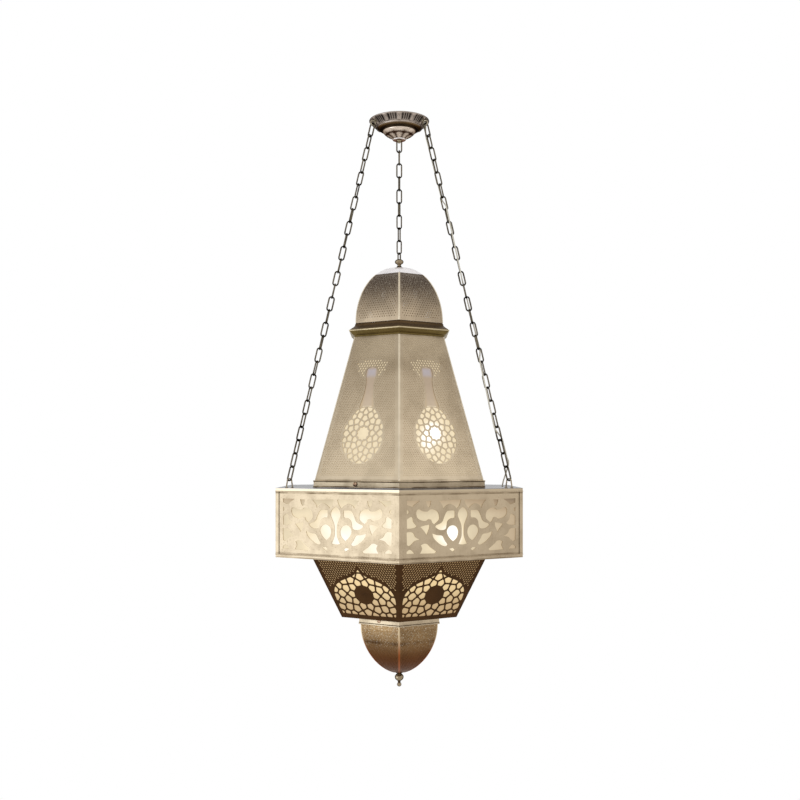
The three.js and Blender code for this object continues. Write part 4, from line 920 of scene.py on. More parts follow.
def make_hook(name, chain):
    """A round eye whose shank goes square through the canopy's slope, with a washer outside and a rivet
    inside."""
    basis = [np.cross(-RUN, [0, 1, 0]), -RUN, [0, -1, 0]]
    ring = placed(wire_loop(LINK_WIDTH, LINK_WIDTH, WIRE), basis, HOOK_CENTRE)
    sheet = -float((HOOK_CENTRE - CANOPY_RIM) @ SLOPE_OUT)
    eye = 0.5 - LINK_WIDTH / 2
    profile = moved(0, sheet - HEAVY_SHEET - FIT, [(0, -1.4), (2.4, -1.2), (3, 0), (1.2, 0)])
    profile += moved(0, sheet, [(1.2, 0.4), (2.5, 0.4), (2.3, 1.2), (1.2, 1.5)]) + [(1.2, eye), (0, eye)]
    points, faces = gathered([ring, rod_along(HOOK_CENTRE, SLOPE_OUT, profile)])
    piece = add_piece(f"eye_{name}", points @ chain.plane, faces, NICKEL, body="canopy",
                      replaces=[f"canopy_eye_{name}"], smooth=True)
    tidy(piece, smooth_angle=40)


def smooth_path(points, step):
    """A Catmull-Rom line through the points, about one point to each step."""
    p = np.asarray(points, float)
    padded = np.concatenate([2 * p[:1] - p[1:2], p, 2 * p[-1:] - p[-2:-1]])
    pieces = []
    for a, b, c, d in zip(padded, padded[1:], padded[2:], padded[3:]):
        count = max(1, int(round(np.linalg.norm(c - b) / step)))
        t = (np.arange(count) / count)[:, None]
        cubic = (2 * a - 5 * b + 4 * c - d) * t**2 + (3 * b - a - 3 * c + d) * t**3
        pieces.append(0.5 * (2 * b + (c - a) * t + cubic))
    return np.concatenate([*pieces, p[-1:]])


def tube(path, radius, around=10, reference=(0.31, 0.87, 0.38)):
    """A round tube along a path: the section's first direction is the reference less its part along the path.
    Each end closes on its own middle."""
    run = np.gradient(path, axis=0)
    run /= np.linalg.norm(run, axis=1)[:, None]
    side = np.asarray(reference) - run * (run @ np.asarray(reference))[:, None]
    side /= np.linalg.norm(side, axis=1)[:, None]
    turn = (2 * np.pi * np.arange(around) / around)[None, :, None]
    outward = np.cos(turn) * side[:, None] + np.sin(turn) * np.cross(run, side)[:, None]
    rings = path[:, None] + radius * outward
    points = np.concatenate([rings.reshape(-1, 3), path[:1], path[-1:]])
    ring, last, middle = np.arange(around), (len(path) - 1) * around, np.full(around, len(path) * around)
    beside = (ring + 1) % around
    ends = [np.stack([ring, beside, middle], 1), np.stack([last + beside, last + ring, middle + 1], 1)]
    return points, [grid_faces(len(path), around, False, True), *ends]


def make_eyelet(name, chain):
    """Bent wire with its two ends through the plate, riveted below it and with a washer above it."""
    crown, foot_half = EYELET_CROWN[2] - BAND_TOP, 4.7
    eye, shoulder = LINK_WIDTH / 2, crown - OPEN_SPACING
    right = [(foot_half, -2.4), (foot_half, 2), (foot_half - 0.3, 5), (eye - 0.2, shoulder - 2.2),
             (eye - 0.3, shoulder), (2.6, crown - 0.8)]
    line = right + [(0, crown)] + mirrored(right[::-1])
    base = np.array([EYELET_CROWN[0], 0, BAND_TOP])
    parts = [tube(smooth_path([base + [x, 0, z] for x, z in line], 1.2), 1.0, 12, reference=(0, 1, 0))]
    rivet = [(0, -2.6), (1.5, -2.4), (2.1, -1.5), (0, -1.5)]
    washer = [(1.35, 0.2), (1.35, 0.9), (2.3, 0.7), (2.5, 0.2)]
    for side in (-foot_half, foot_half):
        parts += [rod_along(base + [side, 0, 0], UP, profile) for profile in (rivet, washer)]
    points, faces = gathered(parts)
    piece = add_piece(f"eyelet_{name}", points @ chain.plane, faces, OLD_NICKEL,
                      replaces=[f"band_eyelet_{name}"], smooth=True)
    tidy(piece, smooth_angle=40)


for chain_name, chain in CHAINS.items():
    make_hook(chain_name, chain)
    make_eyelet(chain_name, chain)


# Lamp cord: the same route as the frame's, beside and through the right-hand chain

CORD_RADIUS = 1.05
CORD_OFFSET = 6.6
CORD_CROSSINGS = (7, 13, 19, 25)
CROSSING_HALF = 9.5
CORD_HOLE = np.array([41.4, 8.6, CANOPY_RIM[2] - (CANOPY_RIM[0] - 41.4) * SLOPE[1] / SLOPE[0]])
CORD_PLATE = (178.5, 2.2)


def cord_route(chain):
    """Points of the free stretch: out of the canopy, down one side of the chain, through a link to the
    other side at each crossing, and down to the hole in the band's plate."""
    pitch = (chain.middles[-1] - chain.middles[0]) / (LINK_COUNT - 1)

    def beside(distance, offset):
        across = chain.across((distance - chain.middles[0]) / pitch, math.pi / 2)
        return chain.hook + chain.run * distance + across * offset

    def straight(low, high, offset):
        steps = max(1, math.ceil((high - low) / 10))
        return [beside(low + (high - low) * i / steps, offset) for i in range(steps)]

    start = CORD_HOLE + SLOPE_OUT * 2.2
    points = [(start + shift) @ chain.plane for shift in ([0, 0, 0], [1.2, -0.8, -4.6], [2, -3, -12])]
    side, low = CORD_OFFSET, 17.0
    for number in CORD_CROSSINGS:
        middle = chain.middles[number - 1]
        points += straight(low, middle - CROSSING_HALF, side)
        for along, share in ((-CROSSING_HALF, 1), (-6, 0.76), (0, 0), (6, -0.76)):
            points.append(beside(middle + along, share * side))
        side, low = -side, middle + CROSSING_HALF
    points += straight(low, SPAN - 14, side)
    base = BAND_TOP + FIT
    end = [[CORD_PLATE[0] + 1.2, CORD_PLATE[1], base + 9], [*CORD_PLATE, base + 1]]
    return points + [np.array(p) @ chain.plane for p in end]


def canopy_cord_route(chain):
    """From the canopy's hole up inside it to the hollow rod."""
    route = (CORD_HOLE, CORD_HOLE - SLOPE_OUT * 4.4, (33, 4, -4.2), (28.5, 1.5, -3.6), (25, -1, -1.6))
    return [np.array(p) @ chain.plane for p in route]


def inner_cord_route(chain):
    """From the plate's hole down inside the band, over its floor in a slack turn and up onto the spider's
    arm, along it to the first holder."""
    x, y = (np.array([*CORD_PLATE, 0]) @ chain.plane)[:2]
    top, rest = BAND_TOP, BAND_FOOT + HEAVY_SHEET + CORD_RADIUS + FIT
    arm = top_of("lamp_spider") + CORD_RADIUS + FIT
    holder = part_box("lamp_holder_1")[1].x / MM + FIT
    fall = rest - top
    return [(x, y, top), (x, y, top - 8), (x - 3, y + 3, top + fall * 0.4), (x - 8, y + 7, top + fall * 0.8),
            (x - 12, y + 11, rest + 6), (x - 18, y + 20, rest + 1), (holder + 40, y * 0.5, arm),
            (holder + 34, y * 0.28, arm + 1), (holder + 26, y * 0.1, arm + 1), (holder + 16, y * 0.01, arm + 2),
            (holder + 4, 0, arm + 5), (holder, 0, arm + 6)]


def make_cord(name, route, node, body):
    """A cord along its route."""
    path = smooth_path(route, 3.0)
    piece = add_piece(name, *tube(path, CORD_RADIUS), CORD_PLASTIC, body=body, replaces=[node], smooth=True)


make_cord("flex", cord_route(CHAINS["right"]), "lamp_cord", "chain_right")
make_cord("flex_in_canopy", canopy_cord_route(CHAINS["right"]), "lamp_cord_canopy", "canopy")
make_cord("flex_in_band", inner_cord_route(CHAINS["right"]), "lamp_cord_inner", "lantern")


# Canopy


def relief_piece(name, outline, relief, look, sides, node):
    """A turned sheet whose outer points move out along their own normal by relief(position, angle).
    Position runs from 0 to 1 along the outline. The relief's painted shade, darker the deeper a place lies
    below the highest relief, is kept as the piece's shade."""
    line = np.asarray(outline, float)
    run = np.gradient(line, axis=0)
    run /= np.linalg.norm(run, axis=1)[:, None]
    normal = np.stack([-run[:, 1], run[:, 0]], 1)
    position = np.concatenate([[0], np.cumsum(np.linalg.norm(np.diff(line, axis=0), axis=1))])
    turn = 2 * np.pi * np.arange(sides) / sides
    lift, shade = relief((position / position[-1])[:, None], turn[None, :])
    outer = line[:, None] + lift[..., None] * normal[:, None]
    inner = np.repeat((line - normal * 1.1)[:, None], sides, 1)
    both = np.concatenate([outer, inner[::-1]])
    points = np.stack([both[..., 0] * np.cos(turn), both[..., 0] * np.sin(turn), both[..., 1]], -1)
    faces = grid_faces(len(both), sides, True, True)
    piece = add_piece(name, points.reshape(-1, 3), faces, look, body="canopy", replaces=[node], smooth=True)
    keep_value(piece, "shade", np.concatenate([shade, np.repeat(shade[-1:], len(line), 0)]))
    face_outwards(piece)


def arc_between(start, end, bulge, steps):
    """Points on a shallow arc: the chord from start to end plus the bulge times the sine of the way along,
    square to it."""
    a, b = np.asarray(start, float), np.asarray(end, float)
    t = np.linspace(0, 1, steps + 1)[:, None]
    side = np.array([b[1] - a[1], a[0] - b[0]]) / np.linalg.norm(b - a)
    return a + (b - a) * t + side * bulge * np.sin(np.pi * t)


def bell(value, middle, width):
    """e to the minus square of the distance from the middle, in widths."""
    return np.exp(-(((value - middle) / width) ** 2))


def fluted_relief(position, turn):
    """Twelve shells round the slope with four flutes between each two. A shell is a cosine hump over 11
    degrees; the flutes are a cosine wave of four crests over the other 19. Both fade in at the rim and out
    at the bead. The second value is painted shade: dark in the flutes, beside the shells, in fine ribs across
    them, in the cove by the bead and at the rim."""
    on_slope = np.clip((position - 0.02) / 0.06, 0, 1) * np.clip((0.40 - position) / 0.05, 0, 1)
    within = (np.degrees(turn) + 15) % 30 - 15
    shell = np.cos(np.pi * np.clip(within / 11, -0.5, 0.5)) ** 1.2
    flute = 0.5 - 0.5 * np.cos(2 * np.pi * (np.abs(within) - 5.5) / 4.75)
    between = np.abs(within) >= 5.5
    lift = on_slope * np.where(between, -0.75 * flute, 0.75 * shell)
    fan = 0.5 - 0.5 * np.cos(2 * np.pi * within / 2.2)
    shade = np.where(between, 0.25 + 0.75 * flute, 0.35 * fan * (1 - shell * 0.5))
    shade = on_slope * (shade + 0.6 * bell(np.abs(within), 5.6, 0.9))
    rim = np.clip(1 - position / 0.03, 0, 1)
    return lift, np.clip(shade + 0.85 * bell(position, 0.62, 0.075) + 0.5 * rim, 0, 1)


def leaf_relief(position, turn):
    """Eight upright leaves: each swells across its width as a cosine lobe and ends in a scallop at the top;
    a rib runs up its middle. The second value is painted shade in the hollows between the leaves and under
    the scallops, with fine upright lines on each leaf."""
    lobe = np.abs(np.cos(4 * turn))
    middle = np.clip((position - 0.12) / 0.12, 0, 1) * np.clip((0.97 - position) / 0.1, 0, 1)
    scallop = bell(position, 0.28 + 0.1 * (1 - lobe), 0.06)
    rib = bell(np.sin(4 * turn), 0, 0.16) * lobe
    veins = 0.5 - 0.5 * np.cos(40 * turn)
    shade = 0.95 * (1 - lobe) ** 1.2 + 0.95 * scallop + 0.3 * veins * lobe
    return middle * (0.8 * lobe - 0.35 * scallop + 0.3 * rib), np.clip(middle * shade, 0, 1)


canopy_line = np.concatenate([
    arc_between((47.8, -0.2), (47.6, -1.2), -0.1, 2),
    arc_between((47.4, -1.6), (38.4, -9.8), 0.5, 14),
    arc_between((37.9, -10.2), (35.9, -9.2), 0.9, 6),
    arc_between((35.4, -9.3), (33.2, -12.8), -0.7, 6),
    arc_between((32.9, -13.1), (26.6, -16.35), 0.8, 8),
    arc_between((25.6, -16.5), (12.0, -16.5), 0, 3)])
relief_piece("fluted_canopy", canopy_line, fluted_relief, CANOPY_RELIEF, 360, "canopy_dish")
leaf_line = np.concatenate([
    arc_between((26.4, -16.8), (26.2, -17.6), 0.2, 2),
    arc_between((25.6, -18.2), (17.2, -23.6), -0.9, 8),
    arc_between((16.4, -24.2), (9.9, -27.9), 0.5, 7),
    arc_between((9.2, -28.1), (2.4, -28.1), 0, 2)])
relief_piece("leaf_cone", leaf_line, leaf_relief, LEAF_RELIEF, 192, "canopy_cone")


def round_box(reach, top, foot, bore, soft):
    """Profile of a ring with a bore and softly rounded outer edges, quarter circles of the soft radius."""
    turn = np.linspace(0, np.pi / 2, 5)
    side, rise = reach - soft + soft * np.sin(turn), soft * np.cos(turn) - soft
    upper = np.stack([side, top + rise], 1)
    lower = np.stack([side, foot - rise], 1)[::-1]
    return [(bore, top), *upper, *lower, (bore, foot)]


collar_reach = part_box("canopy_collar")[1].x / MM
collar_top, collar_foot = top_of("canopy_collar"), foot_of("canopy_collar")
turned_piece("canopy_collar_ring", round_box(collar_reach, collar_top, collar_foot, bore=3.8, soft=0.9),
             COLLAR_BRIGHT, body="canopy", replaces=["canopy_collar"])
cap_profile = moved(0, collar_foot - FIT, [
    (0, 2.2), (3.3, 2.2), (3.3, 0), (4.4, 0), (4.5, -0.6), (4.1, -1.3), (2.9, -1.7), (2.3, -2.2)])
cap_profile += moved(0, foot_of("canopy_cap_nut"), [(2.5, 1.6), (2.3, 0.8), (1.4, 0.2), (0, 0)])
turned_piece("cap_nut", cap_profile, OLD_NICKEL, body="canopy", replaces=["canopy_cap_nut"])


# Crown: finial, cap, dome and moulding

DOME_TOP = DOME_FOOT + DOME_HEIGHT
CAP_HEIGHT = 14
CAP_HOLE = 2.7


def dome_radius(height):
    """Corner radius of the crown at a height: a quarter ellipse, the square root of one less the share
    squared."""
    share = (np.asarray(height, float) - DOME_FOOT) / DOME_HEIGHT
    return DOME_RADIUS * np.sqrt(np.clip(1 - share * share, 0, 1))


finial_profile = moved(0, DOME_TOP + FIT, [
    (0, 13.1), (1.8, 12.9), (4.2, 12.2), (6.2, 10.7), (7.1, 8.6), (6.2, 6.5), (4.2, 4.9), (2.5, 3.6),
    (2.3, 2.6), (3.4, 1.2), (5.3, 0), (1.8, 0), (1.8, -12.3), (0, -12.3)])
turned_piece("crown_finial", finial_profile, OLD_NICKEL, replaces=["dome_finial"])

cap_heights = CAP_FOOT + CAP_HEIGHT * (1 - np.linspace(0, 1, 12)[1:] ** 1.6)
cap_line = [(CAP_HOLE, DOME_TOP), *zip(dome_radius(cap_heights), cap_heights)]
hexagonal_piece("crown_cap_shell", thick_profile(cap_line, HEAVY_SHEET), CAP_BRASS, bevel=0.5,
                replaces=["crown_cap"])


class Gore:
    """One curved face of a hexagonal dome. Flat points are (across, along), along being the arc length of
    the face's middle line; the reach from the axis and the height come from that line, and so does the
    outward direction."""

    def __init__(self, radii, heights):
        self.radius, self.height = radii, heights
        self.reach = radii / CORNER_FROM_FLAT
        self.along = np.concatenate([[0], np.cumsum(np.hypot(np.diff(self.reach), np.diff(heights)))])
        self.length = self.along[-1]

    def half(self, along):
        """Half the face's width at a length along it."""
        return np.interp(along, self.along, self.radius) / 2

    def carried(self, flat, number, depth):
        """Flat points carried onto face `number`, and moved out from it by the depth."""
        across, along = flat.T
        rise, draw = np.gradient(self.height, self.along), np.gradient(self.reach, self.along)
        outward, upward = np.interp(along, self.along, rise), -np.interp(along, self.along, draw)
        size = np.hypot(outward, upward) * np.sign(rise[len(rise) // 2])
        reach = np.interp(along, self.along, self.reach) + depth * outward / size
        height = np.interp(along, self.along, self.height) + depth * upward / size
        out, side = level(FACE_STEP * number), level(FACE_STEP * number + 90)
        return reach[:, None] * out + across[:, None] * side + height[:, None] * UP


def pierced_gores(name, node, gore, look, pitch, rise, hole, margin, ends):
    """Six curved faces with a staggered net of small holes that stops a margin short of the corners and of
    the ends."""
    edge_along = np.linspace(0, gore.length, 26)
    edge = np.column_stack([gore.half(edge_along) - SEAM_INSET, edge_along])

    def allowed(points):
        across, along = np.abs(points[..., 0]), points[..., 1]
        return (across < gore.half(along) - margin) & (along > ends[0]) & (along < gore.length - ends[1])

    holes = net_holes(staggered(2 * DOME_RADIUS, 0, gore.length, pitch, rise), hole, allowed)
    flat, triangles = punched(np.concatenate([edge, edge[::-1] * [-1, 1]]), holes)
    faces = [walled(gore.carried(flat, number, 0), gore.carried(flat, number, -HEAVY_SHEET), triangles)
             for number in range(SIDES)]
    add_piece(name, *gathered(faces), look, replaces=[node])


def corner_strips(name, radii, heights, look, width, proud):
    """A bent strip along each of the six corners. Its section lies level: two flanges of the given width
    along the faces either side, standing proud of them, and it is carried along the corner's line."""
    line = np.stack([radii, heights], 1)
    foot = np.array([[0, 1, 4, 5], [1, 2, 3, 4]])
    faces = np.concatenate([grid_faces(len(line), 6, False, True), foot, foot[:, ::-1] + 6 * (len(line) - 1)])
    strips = []
    for azimuth in range(30, 360, FACE_STEP):
        out = np.array([level(azimuth + 30), CORNER_FROM_FLAT * level(azimuth), level(azimuth - 30)])
        flange = width * np.array([level(azimuth + 120), 0 * UP, level(azimuth - 120)])
        section = np.concatenate([proud * out + flange, (0.03 * out + flange)[::-1]])
        corner = line[:, :1] * level(azimuth) + line[:, 1:] * UP
        strips.append(((corner[:, None] + section).reshape(-1, 3), faces))
    tidy(add_piece(name, *gathered(strips), look), bevel=0.15)


dome_heights = DOME_FOOT + (CAP_FOOT - FIT - DOME_FOOT) * np.linspace(0, 1, 40)
crown_gore = Gore(dome_radius(dome_heights), dome_heights)
pierced_gores("dome_gores", "dome_shell", crown_gore, DOME_BRASS, pitch=4.3, rise=3.7,
              hole=small_hole(1.9, 2.2, corners=4), margin=4.5, ends=(5.0, 6.0))
corner_strips("dome_seams", crown_gore.radius, crown_gore.height, SEAM_BRASS, width=1.5, proud=0.45)

RIDGE = MOULDING_FOOT + 0.45 * (MOULDING_TOP - MOULDING_FOOT)
ridge_profile = moved(0, MOULDING_TOP, [(77.4, 0), (79.0, -1.2), (79.6, -4.2)])
ridge_profile += moved(0, RIDGE, [(82.4, 5.2), (86.0, 3.0), (88.2, 1.3), (88.2, -1.3), (85.2, -4.4),
                                  (83.2, -6.4)])
ridge_profile += moved(0, MOULDING_FOOT, [(81.4, 2.4), (79.9, 0), (74.0, 0)]) + [(74.0, MOULDING_TOP)]
hexagonal_piece("crown_ridge", ridge_profile, OLD_BRASS, bevel=0.5, replaces=["crown_moulding"])
bead_profile = moved(0, RIDGE, [(88.4, 1.1), (89.5, 0.9), (89.9, 0), (89.5, -0.9), (88.4, -1.1)])
hexagonal_piece("crown_ridge_bead", bead_profile, RIDGE_BRASS, bevel=0.2)


# Pierced cone panels

CONE_LEAN = math.atan((CONE_FOOT_RADIUS - CONE_HEAD_RADIUS) / CORNER_FROM_FLAT / CONE_HEIGHT)
CONE_SLANT = CONE_HEIGHT / math.cos(CONE_LEAN)
CONE_BASE = LIP_TOP + FIT + SHEET * math.sin(CONE_LEAN)
STAR_HEIGHT = 73
FLASK_HALF = [(13, 29.5), (25.5, 39.5), (33.6, 54), (35.6, 71), (32, 87), (23.4, 99.5), (13.6, 111)]
NECK_HALF = [(12.8, 112.8), (11.4, 120.5), (9.2, 129), (7.5, 139), (7.0, 152), (8.4, 162), (9.8, 169),
             (7.2, 175.6)]
FAN_HALF = [(11, 160), (20, 166), (27, 177), (24, 188)]
FLASK = anticlockwise(smooth_loop(both_sides(26, FLASK_HALF, 114), sharp=75))
NECK = anticlockwise(smooth_loop(both_sides(115.2, NECK_HALF, 178), sharp=60))
FAN = anticlockwise(smooth_loop(both_sides(158, FAN_HALF, 191), steps=3, sharp=75))
WIDE_FLASK = FLASK * [1.06, 1.03] + [0, -2]
WIDE_NECK = NECK * [1.2, 1.0]


def trapezium(foot_radius, head_radius, slant, margins):
    """Outline of a leaning face less its seams, and a test for places within each of the margins."""
    foot, head = foot_radius / 2 - SEAM_INSET, head_radius / 2 - SEAM_INSET
    outline = [(-foot, 0), (foot, 0), (head, slant), (-head, slant)]
    return outline, *[within_trapezium(foot, head, slant, margin) for margin in margins]


def cone_flat():
    """A cone panel: its star, flask of cells, neck, net of small holes, and fan of larger ones."""
    outline, within = trapezium(CONE_FOOT_RADIUS, CONE_HEAD_RADIUS, CONE_SLANT, [5.5])

    def net_allowed(points):
        taken = inside(points, WIDE_FLASK) | inside(points, WIDE_NECK) | inside(points, FAN)
        return within(points) & ~taken

    def fan_allowed(points):
        return within(points) & inside(points, FAN) & ~inside(points, WIDE_NECK)

    holes = [star_loop(STAR_HEIGHT, tip=10.9, hollow=9.1), NECK]
    holes += rosette_cells(STAR_HEIGHT, star=10.4, outline=FLASK, bar=2.0)
    centres = staggered(160, 0, CONE_SLANT, pitch=3.05, rise=2.65)
    holes += net_holes(centres, small_hole(1.5, 1.7, corners=5), net_allowed)
    centres = staggered(60, 150, 195, pitch=4.6, rise=3.8)
    holes += net_holes(centres, small_hole(3.2, 3.3, corners=6), fan_allowed)
    return punched(outline, holes)


def six_sheets(name, node, sheet, place, wall, look):
    """The flat sheet on each of the six faces, one piece for each. The place is a face's reach, height and
    lean. The node has the face's number, or it is one node for all."""
    flat, triangles = sheet
    for number in range(SIDES):
        face = face_place(number, *place)
        points, faces = walled(on_plane(flat, face), on_plane(flat, face, -wall), triangles)
        add_piece(f"{name}_{number + 1}", points, faces, look, replaces=[node.format(number + 1)])


cone_place = (CONE_FOOT_RADIUS / CORNER_FROM_FLAT, CONE_BASE, CONE_LEAN)
six_sheets("cone_sheet", "cone_panel_{}", cone_flat(), cone_place, SHEET, CONE_BRASS)
corner_strips("cone_seams", [CONE_FOOT_RADIUS, CONE_HEAD_RADIUS], [CONE_BASE, CONE_BASE + CONE_HEIGHT],
              SEAM_BRASS, width=1.7, proud=0.3)


# Base lip and screws

lip_line = moved(LIP_RADIUS, LIP_TOP, [(-12, 0), (-0.6, 0), (0, -0.9), (-1.0, -2.0)])
lip_line += moved(LIP_RADIUS, LIP_FOOT, [(-1.0, 1.9), (0, 1.1), (0, 0)])
hexagonal_piece("base_lip", thick_profile(lip_line), LIP_BRASS, bevel=0.25, replaces=["cone_base_lip"])


def screw_points(radius, rise, slot_half, length):
    """A round slotted head on a plain shank, along +Z. The head's height over its edge is the rise times
    the square root of one less nine tenths of the distance squared, and the slot's floor is level at a
    third of the rise."""
    edge = math.asin(slot_half / radius)
    low = radius * np.sin(np.linspace(-np.pi / 2, -edge, 7))
    rows = np.concatenate([low, [-slot_half, slot_half], -low[::-1]])[:, None]
    x = np.linspace(-1, 1, 15) * np.sqrt(np.clip(radius**2 - rows**2, 1e-4, None))
    y = rows + 0 * x
    height = rise * np.sqrt(np.clip(1 - 0.9 * (x * x + y * y) / radius**2, 0, 1))
    height[len(low) : len(low) + 2] = rise / 3
    top = np.stack([x, y, height], -1).reshape(-1, 3)
    quads = grid_faces(len(rows), 15, False, False)
    head = walled(top, top * [1, 1, 0], np.concatenate([quads[:, [0, 1, 2]], quads[:, [0, 2, 3]]]))
    return gathered([head, turned([(0, 0), (1.6, 0), (1.6, -length), (0, -length)], 12)])


SCREW = screw_points(radius=3.2, rise=1.6, slot_half=0.4, length=5.5)


def ring_of_screws(name, reach, height, node=None):
    """Three screws a third of a turn apart, each with its slot turned its own way."""
    for number, azimuth in enumerate((-120, 0, 120), 1):
        out, across, spin = level(azimuth), level(azimuth + 90), math.radians(25 + azimuth)
        slot = across * math.cos(spin) + UP * math.sin(spin)
        basis = [slot, UP * math.cos(spin) - across * math.sin(spin), out]
        points, faces = placed(SCREW, basis, reach * out + height * UP)
        stands_for = [f"{node}_{number}"] if node else ()
        piece = add_piece(f"{name}_{number}", points, faces, COPPER, replaces=stands_for, smooth=True)
        tidy(piece, smooth_angle=40)


ring_of_screws("screw", LIP_RADIUS / CORNER_FROM_FLAT + FIT, (LIP_TOP + LIP_FOOT) / 2, "lip_screw")


# Band with its large windows

BAND_REACH = BAND_RADIUS / CORNER_FROM_FLAT - 0.8 - FIT
BAND_HALF = BAND_REACH * TAN_30 - SEAM_INSET
WINDOWS = [
    [(17.3, 51.4), (10.7, 48.7), (7.8, 41.9), (10, 33.9), (16.6, 28.6), (23.2, 34.4), (27.3, 42.5),
     (23.9, 49.2)],
    [(51.4, 40.9), (43.5, 38.2), (34.8, 36.9), (30.5, 30.4), (25.8, 24.3), (29, 22), (36.3, 23.9),
     (44.9, 29.8), (49.9, 35.4)],
    [(26.1, 71.9), (13.7, 72.2), (13.7, 63.6), (15.9, 61.8), (21, 61.3), (26.1, 57.2), (28.3, 47.5),
     (33.4, 45.2), (40.6, 46), (46.6, 49.9), (44.9, 52.3), (38.4, 54.5), (34.1, 58.1), (31.2, 64.7)],
    [(73.4, 75.5), (65.6, 72.3), (59.2, 72.1), (54.9, 75), (47.8, 74.3), (42, 70.5), (39.9, 63.7),
     (41.3, 58.9), (48.5, 53.6), (52.1, 56.8), (53.5, 60.4), (57.8, 61.2), (62.1, 58.9), (69.1, 59.7),
     (75.5, 62.9), (77.9, 68.4), (77.3, 73.2)],
    [(71.3, 50.7), (64.9, 52.3), (56.4, 53.5), (56.7, 48.4), (60.9, 38.9), (65.6, 45.1)],
    [(93.2, 75.3), (89.9, 73.5), (89.9, 70.5), (93, 68.8)],
    [(93.2, 61.6), (87.4, 65), (83.9, 63.7), (82.5, 57.7), (76.9, 52.1), (80.4, 49.8), (87.4, 48.8),
     (93, 49)],
    [(93.7, 43.6), (87.4, 44), (82.5, 42.1), (79, 36.5), (72, 32.9), (80.4, 31.2), (85.3, 27.1),
     (89.5, 24.6), (93.2, 26.3)],
    [(93.7, 16.7), (88.8, 19.5), (84.6, 17.5), (81.1, 13.8), (93.7, 13.7)],
    [(70.6, 24.7), (65.6, 26.9), (59.9, 26.1), (54.9, 21.7), (44.9, 15.1), (47.8, 12.6), (72, 13.3),
     (68.4, 19.8)],
    [(93.2, 87.9), (72, 87.5), (81.1, 81.7), (83.9, 79.3), (93, 81.9)],
    [(62.1, 86.9), (53.5, 87.1), (54.9, 81.1), (57.8, 77.5), (60.6, 81.2)],
    [(40.6, 86.9), (2.6, 88), (5.6, 80.1), (10, 75.2), (14.4, 79), (21.7, 82.2), (29, 79.3), (32.6, 75.1),
     (34.8, 80.7)],
    [(23.2, 17.9), (17.3, 18.8), (13.7, 16.2), (17.3, 13.9)],
]
BOTTLE_HALF = [(6, 73.2), (8.6, 66.1), (6.3, 60), (2.6, 51.4), (1.9, 41.5), (2.6, 34.1), (7.4, 24.2)]


def band_flat():
    """One band panel: every window on both sides of the middle, and the bottle-shaped one across it."""
    loops = [side for window in WINDOWS for side in (window, mirrored(window))]
    loops.append(both_sides(77.5, BOTTLE_HALF, 23.3))
    low, high = foot_of("band_panel_1") - BAND_FOOT, top_of("band_panel_1") - BAND_FOOT
    outline = [(-BAND_HALF, low), (BAND_HALF, low), (BAND_HALF, high), (-BAND_HALF, high)]
    return punched(outline, [smooth_loop(anticlockwise(loop)) for loop in loops])


six_sheets("band_sheet", "band_panel_{}", band_flat(), (BAND_REACH, BAND_FOOT), SHEET, BAND_BRASS)
corner_strips("band_corners", [BAND_RADIUS - 0.6] * 2, [BAND_FOOT + 5.2, BAND_TOP - 5.2], BAND_BRASS,
              width=5.4, proud=0.6)
for edge, height in (("top", BAND_TOP - 4.8), ("foot", BAND_FOOT + 4.8)):
    bead_profile = [(0, 0.8), (0.7, 0.4), (0.7, -0.4), (0, -0.8), (-1.2, -0.8), (-1.2, 0.8)]
    hexagonal_piece(f"band_{edge}_bead", moved(BAND_RADIUS, height, bead_profile), BAND_BRASS, bevel=0.2)


# Lower section

LOWER_LEAN = math.atan((LOWER_FOOT_RADIUS - LOWER_TOP_RADIUS) / CORNER_FROM_FLAT / LOWER_HEIGHT)
LOWER_SLANT = LOWER_HEIGHT / math.cos(LOWER_LEAN)
LOWER_FOOT = LOWER_TOP - LOWER_HEIGHT
LOWER_STAR_HEIGHT = 43.4
ARCH_HALF = [(8, 78), (20, 72), (38, 64), (49.5, 53.5), (53.5, 41), (51.5, 24), (47, 7.4)]
ARCH = anticlockwise(smooth_loop(both_sides(87, ARCH_HALF, 6.6), sharp=50))
WIDE_ARCH = ARCH * [1.05, 1.04]
SPIGOT = COLLAR_RADIUS - (SHEET + FIT) * CORNER_FROM_FLAT


def lower_flat():
    """One lower face: an ogee arch of cells round a solid star, in a net of small lozenges."""
    outline, within, within_cells = trapezium(LOWER_FOOT_RADIUS, LOWER_TOP_RADIUS, LOWER_SLANT, [3.6, 2.0])

    def allowed(points):
        return within(points) & ~inside(points, WIDE_ARCH)

    cells = rosette_cells(LOWER_STAR_HEIGHT, star=13.6, outline=ARCH, bar=2.1)
    centres = staggered(180, 0, LOWER_SLANT, pitch=4.4, rise=3.5)
    net = net_holes(centres, small_hole(3.4, 4.1, corners=4), allowed)
    return punched(outline, [cell for cell in cells if np.all(within_cells(cell))] + net)


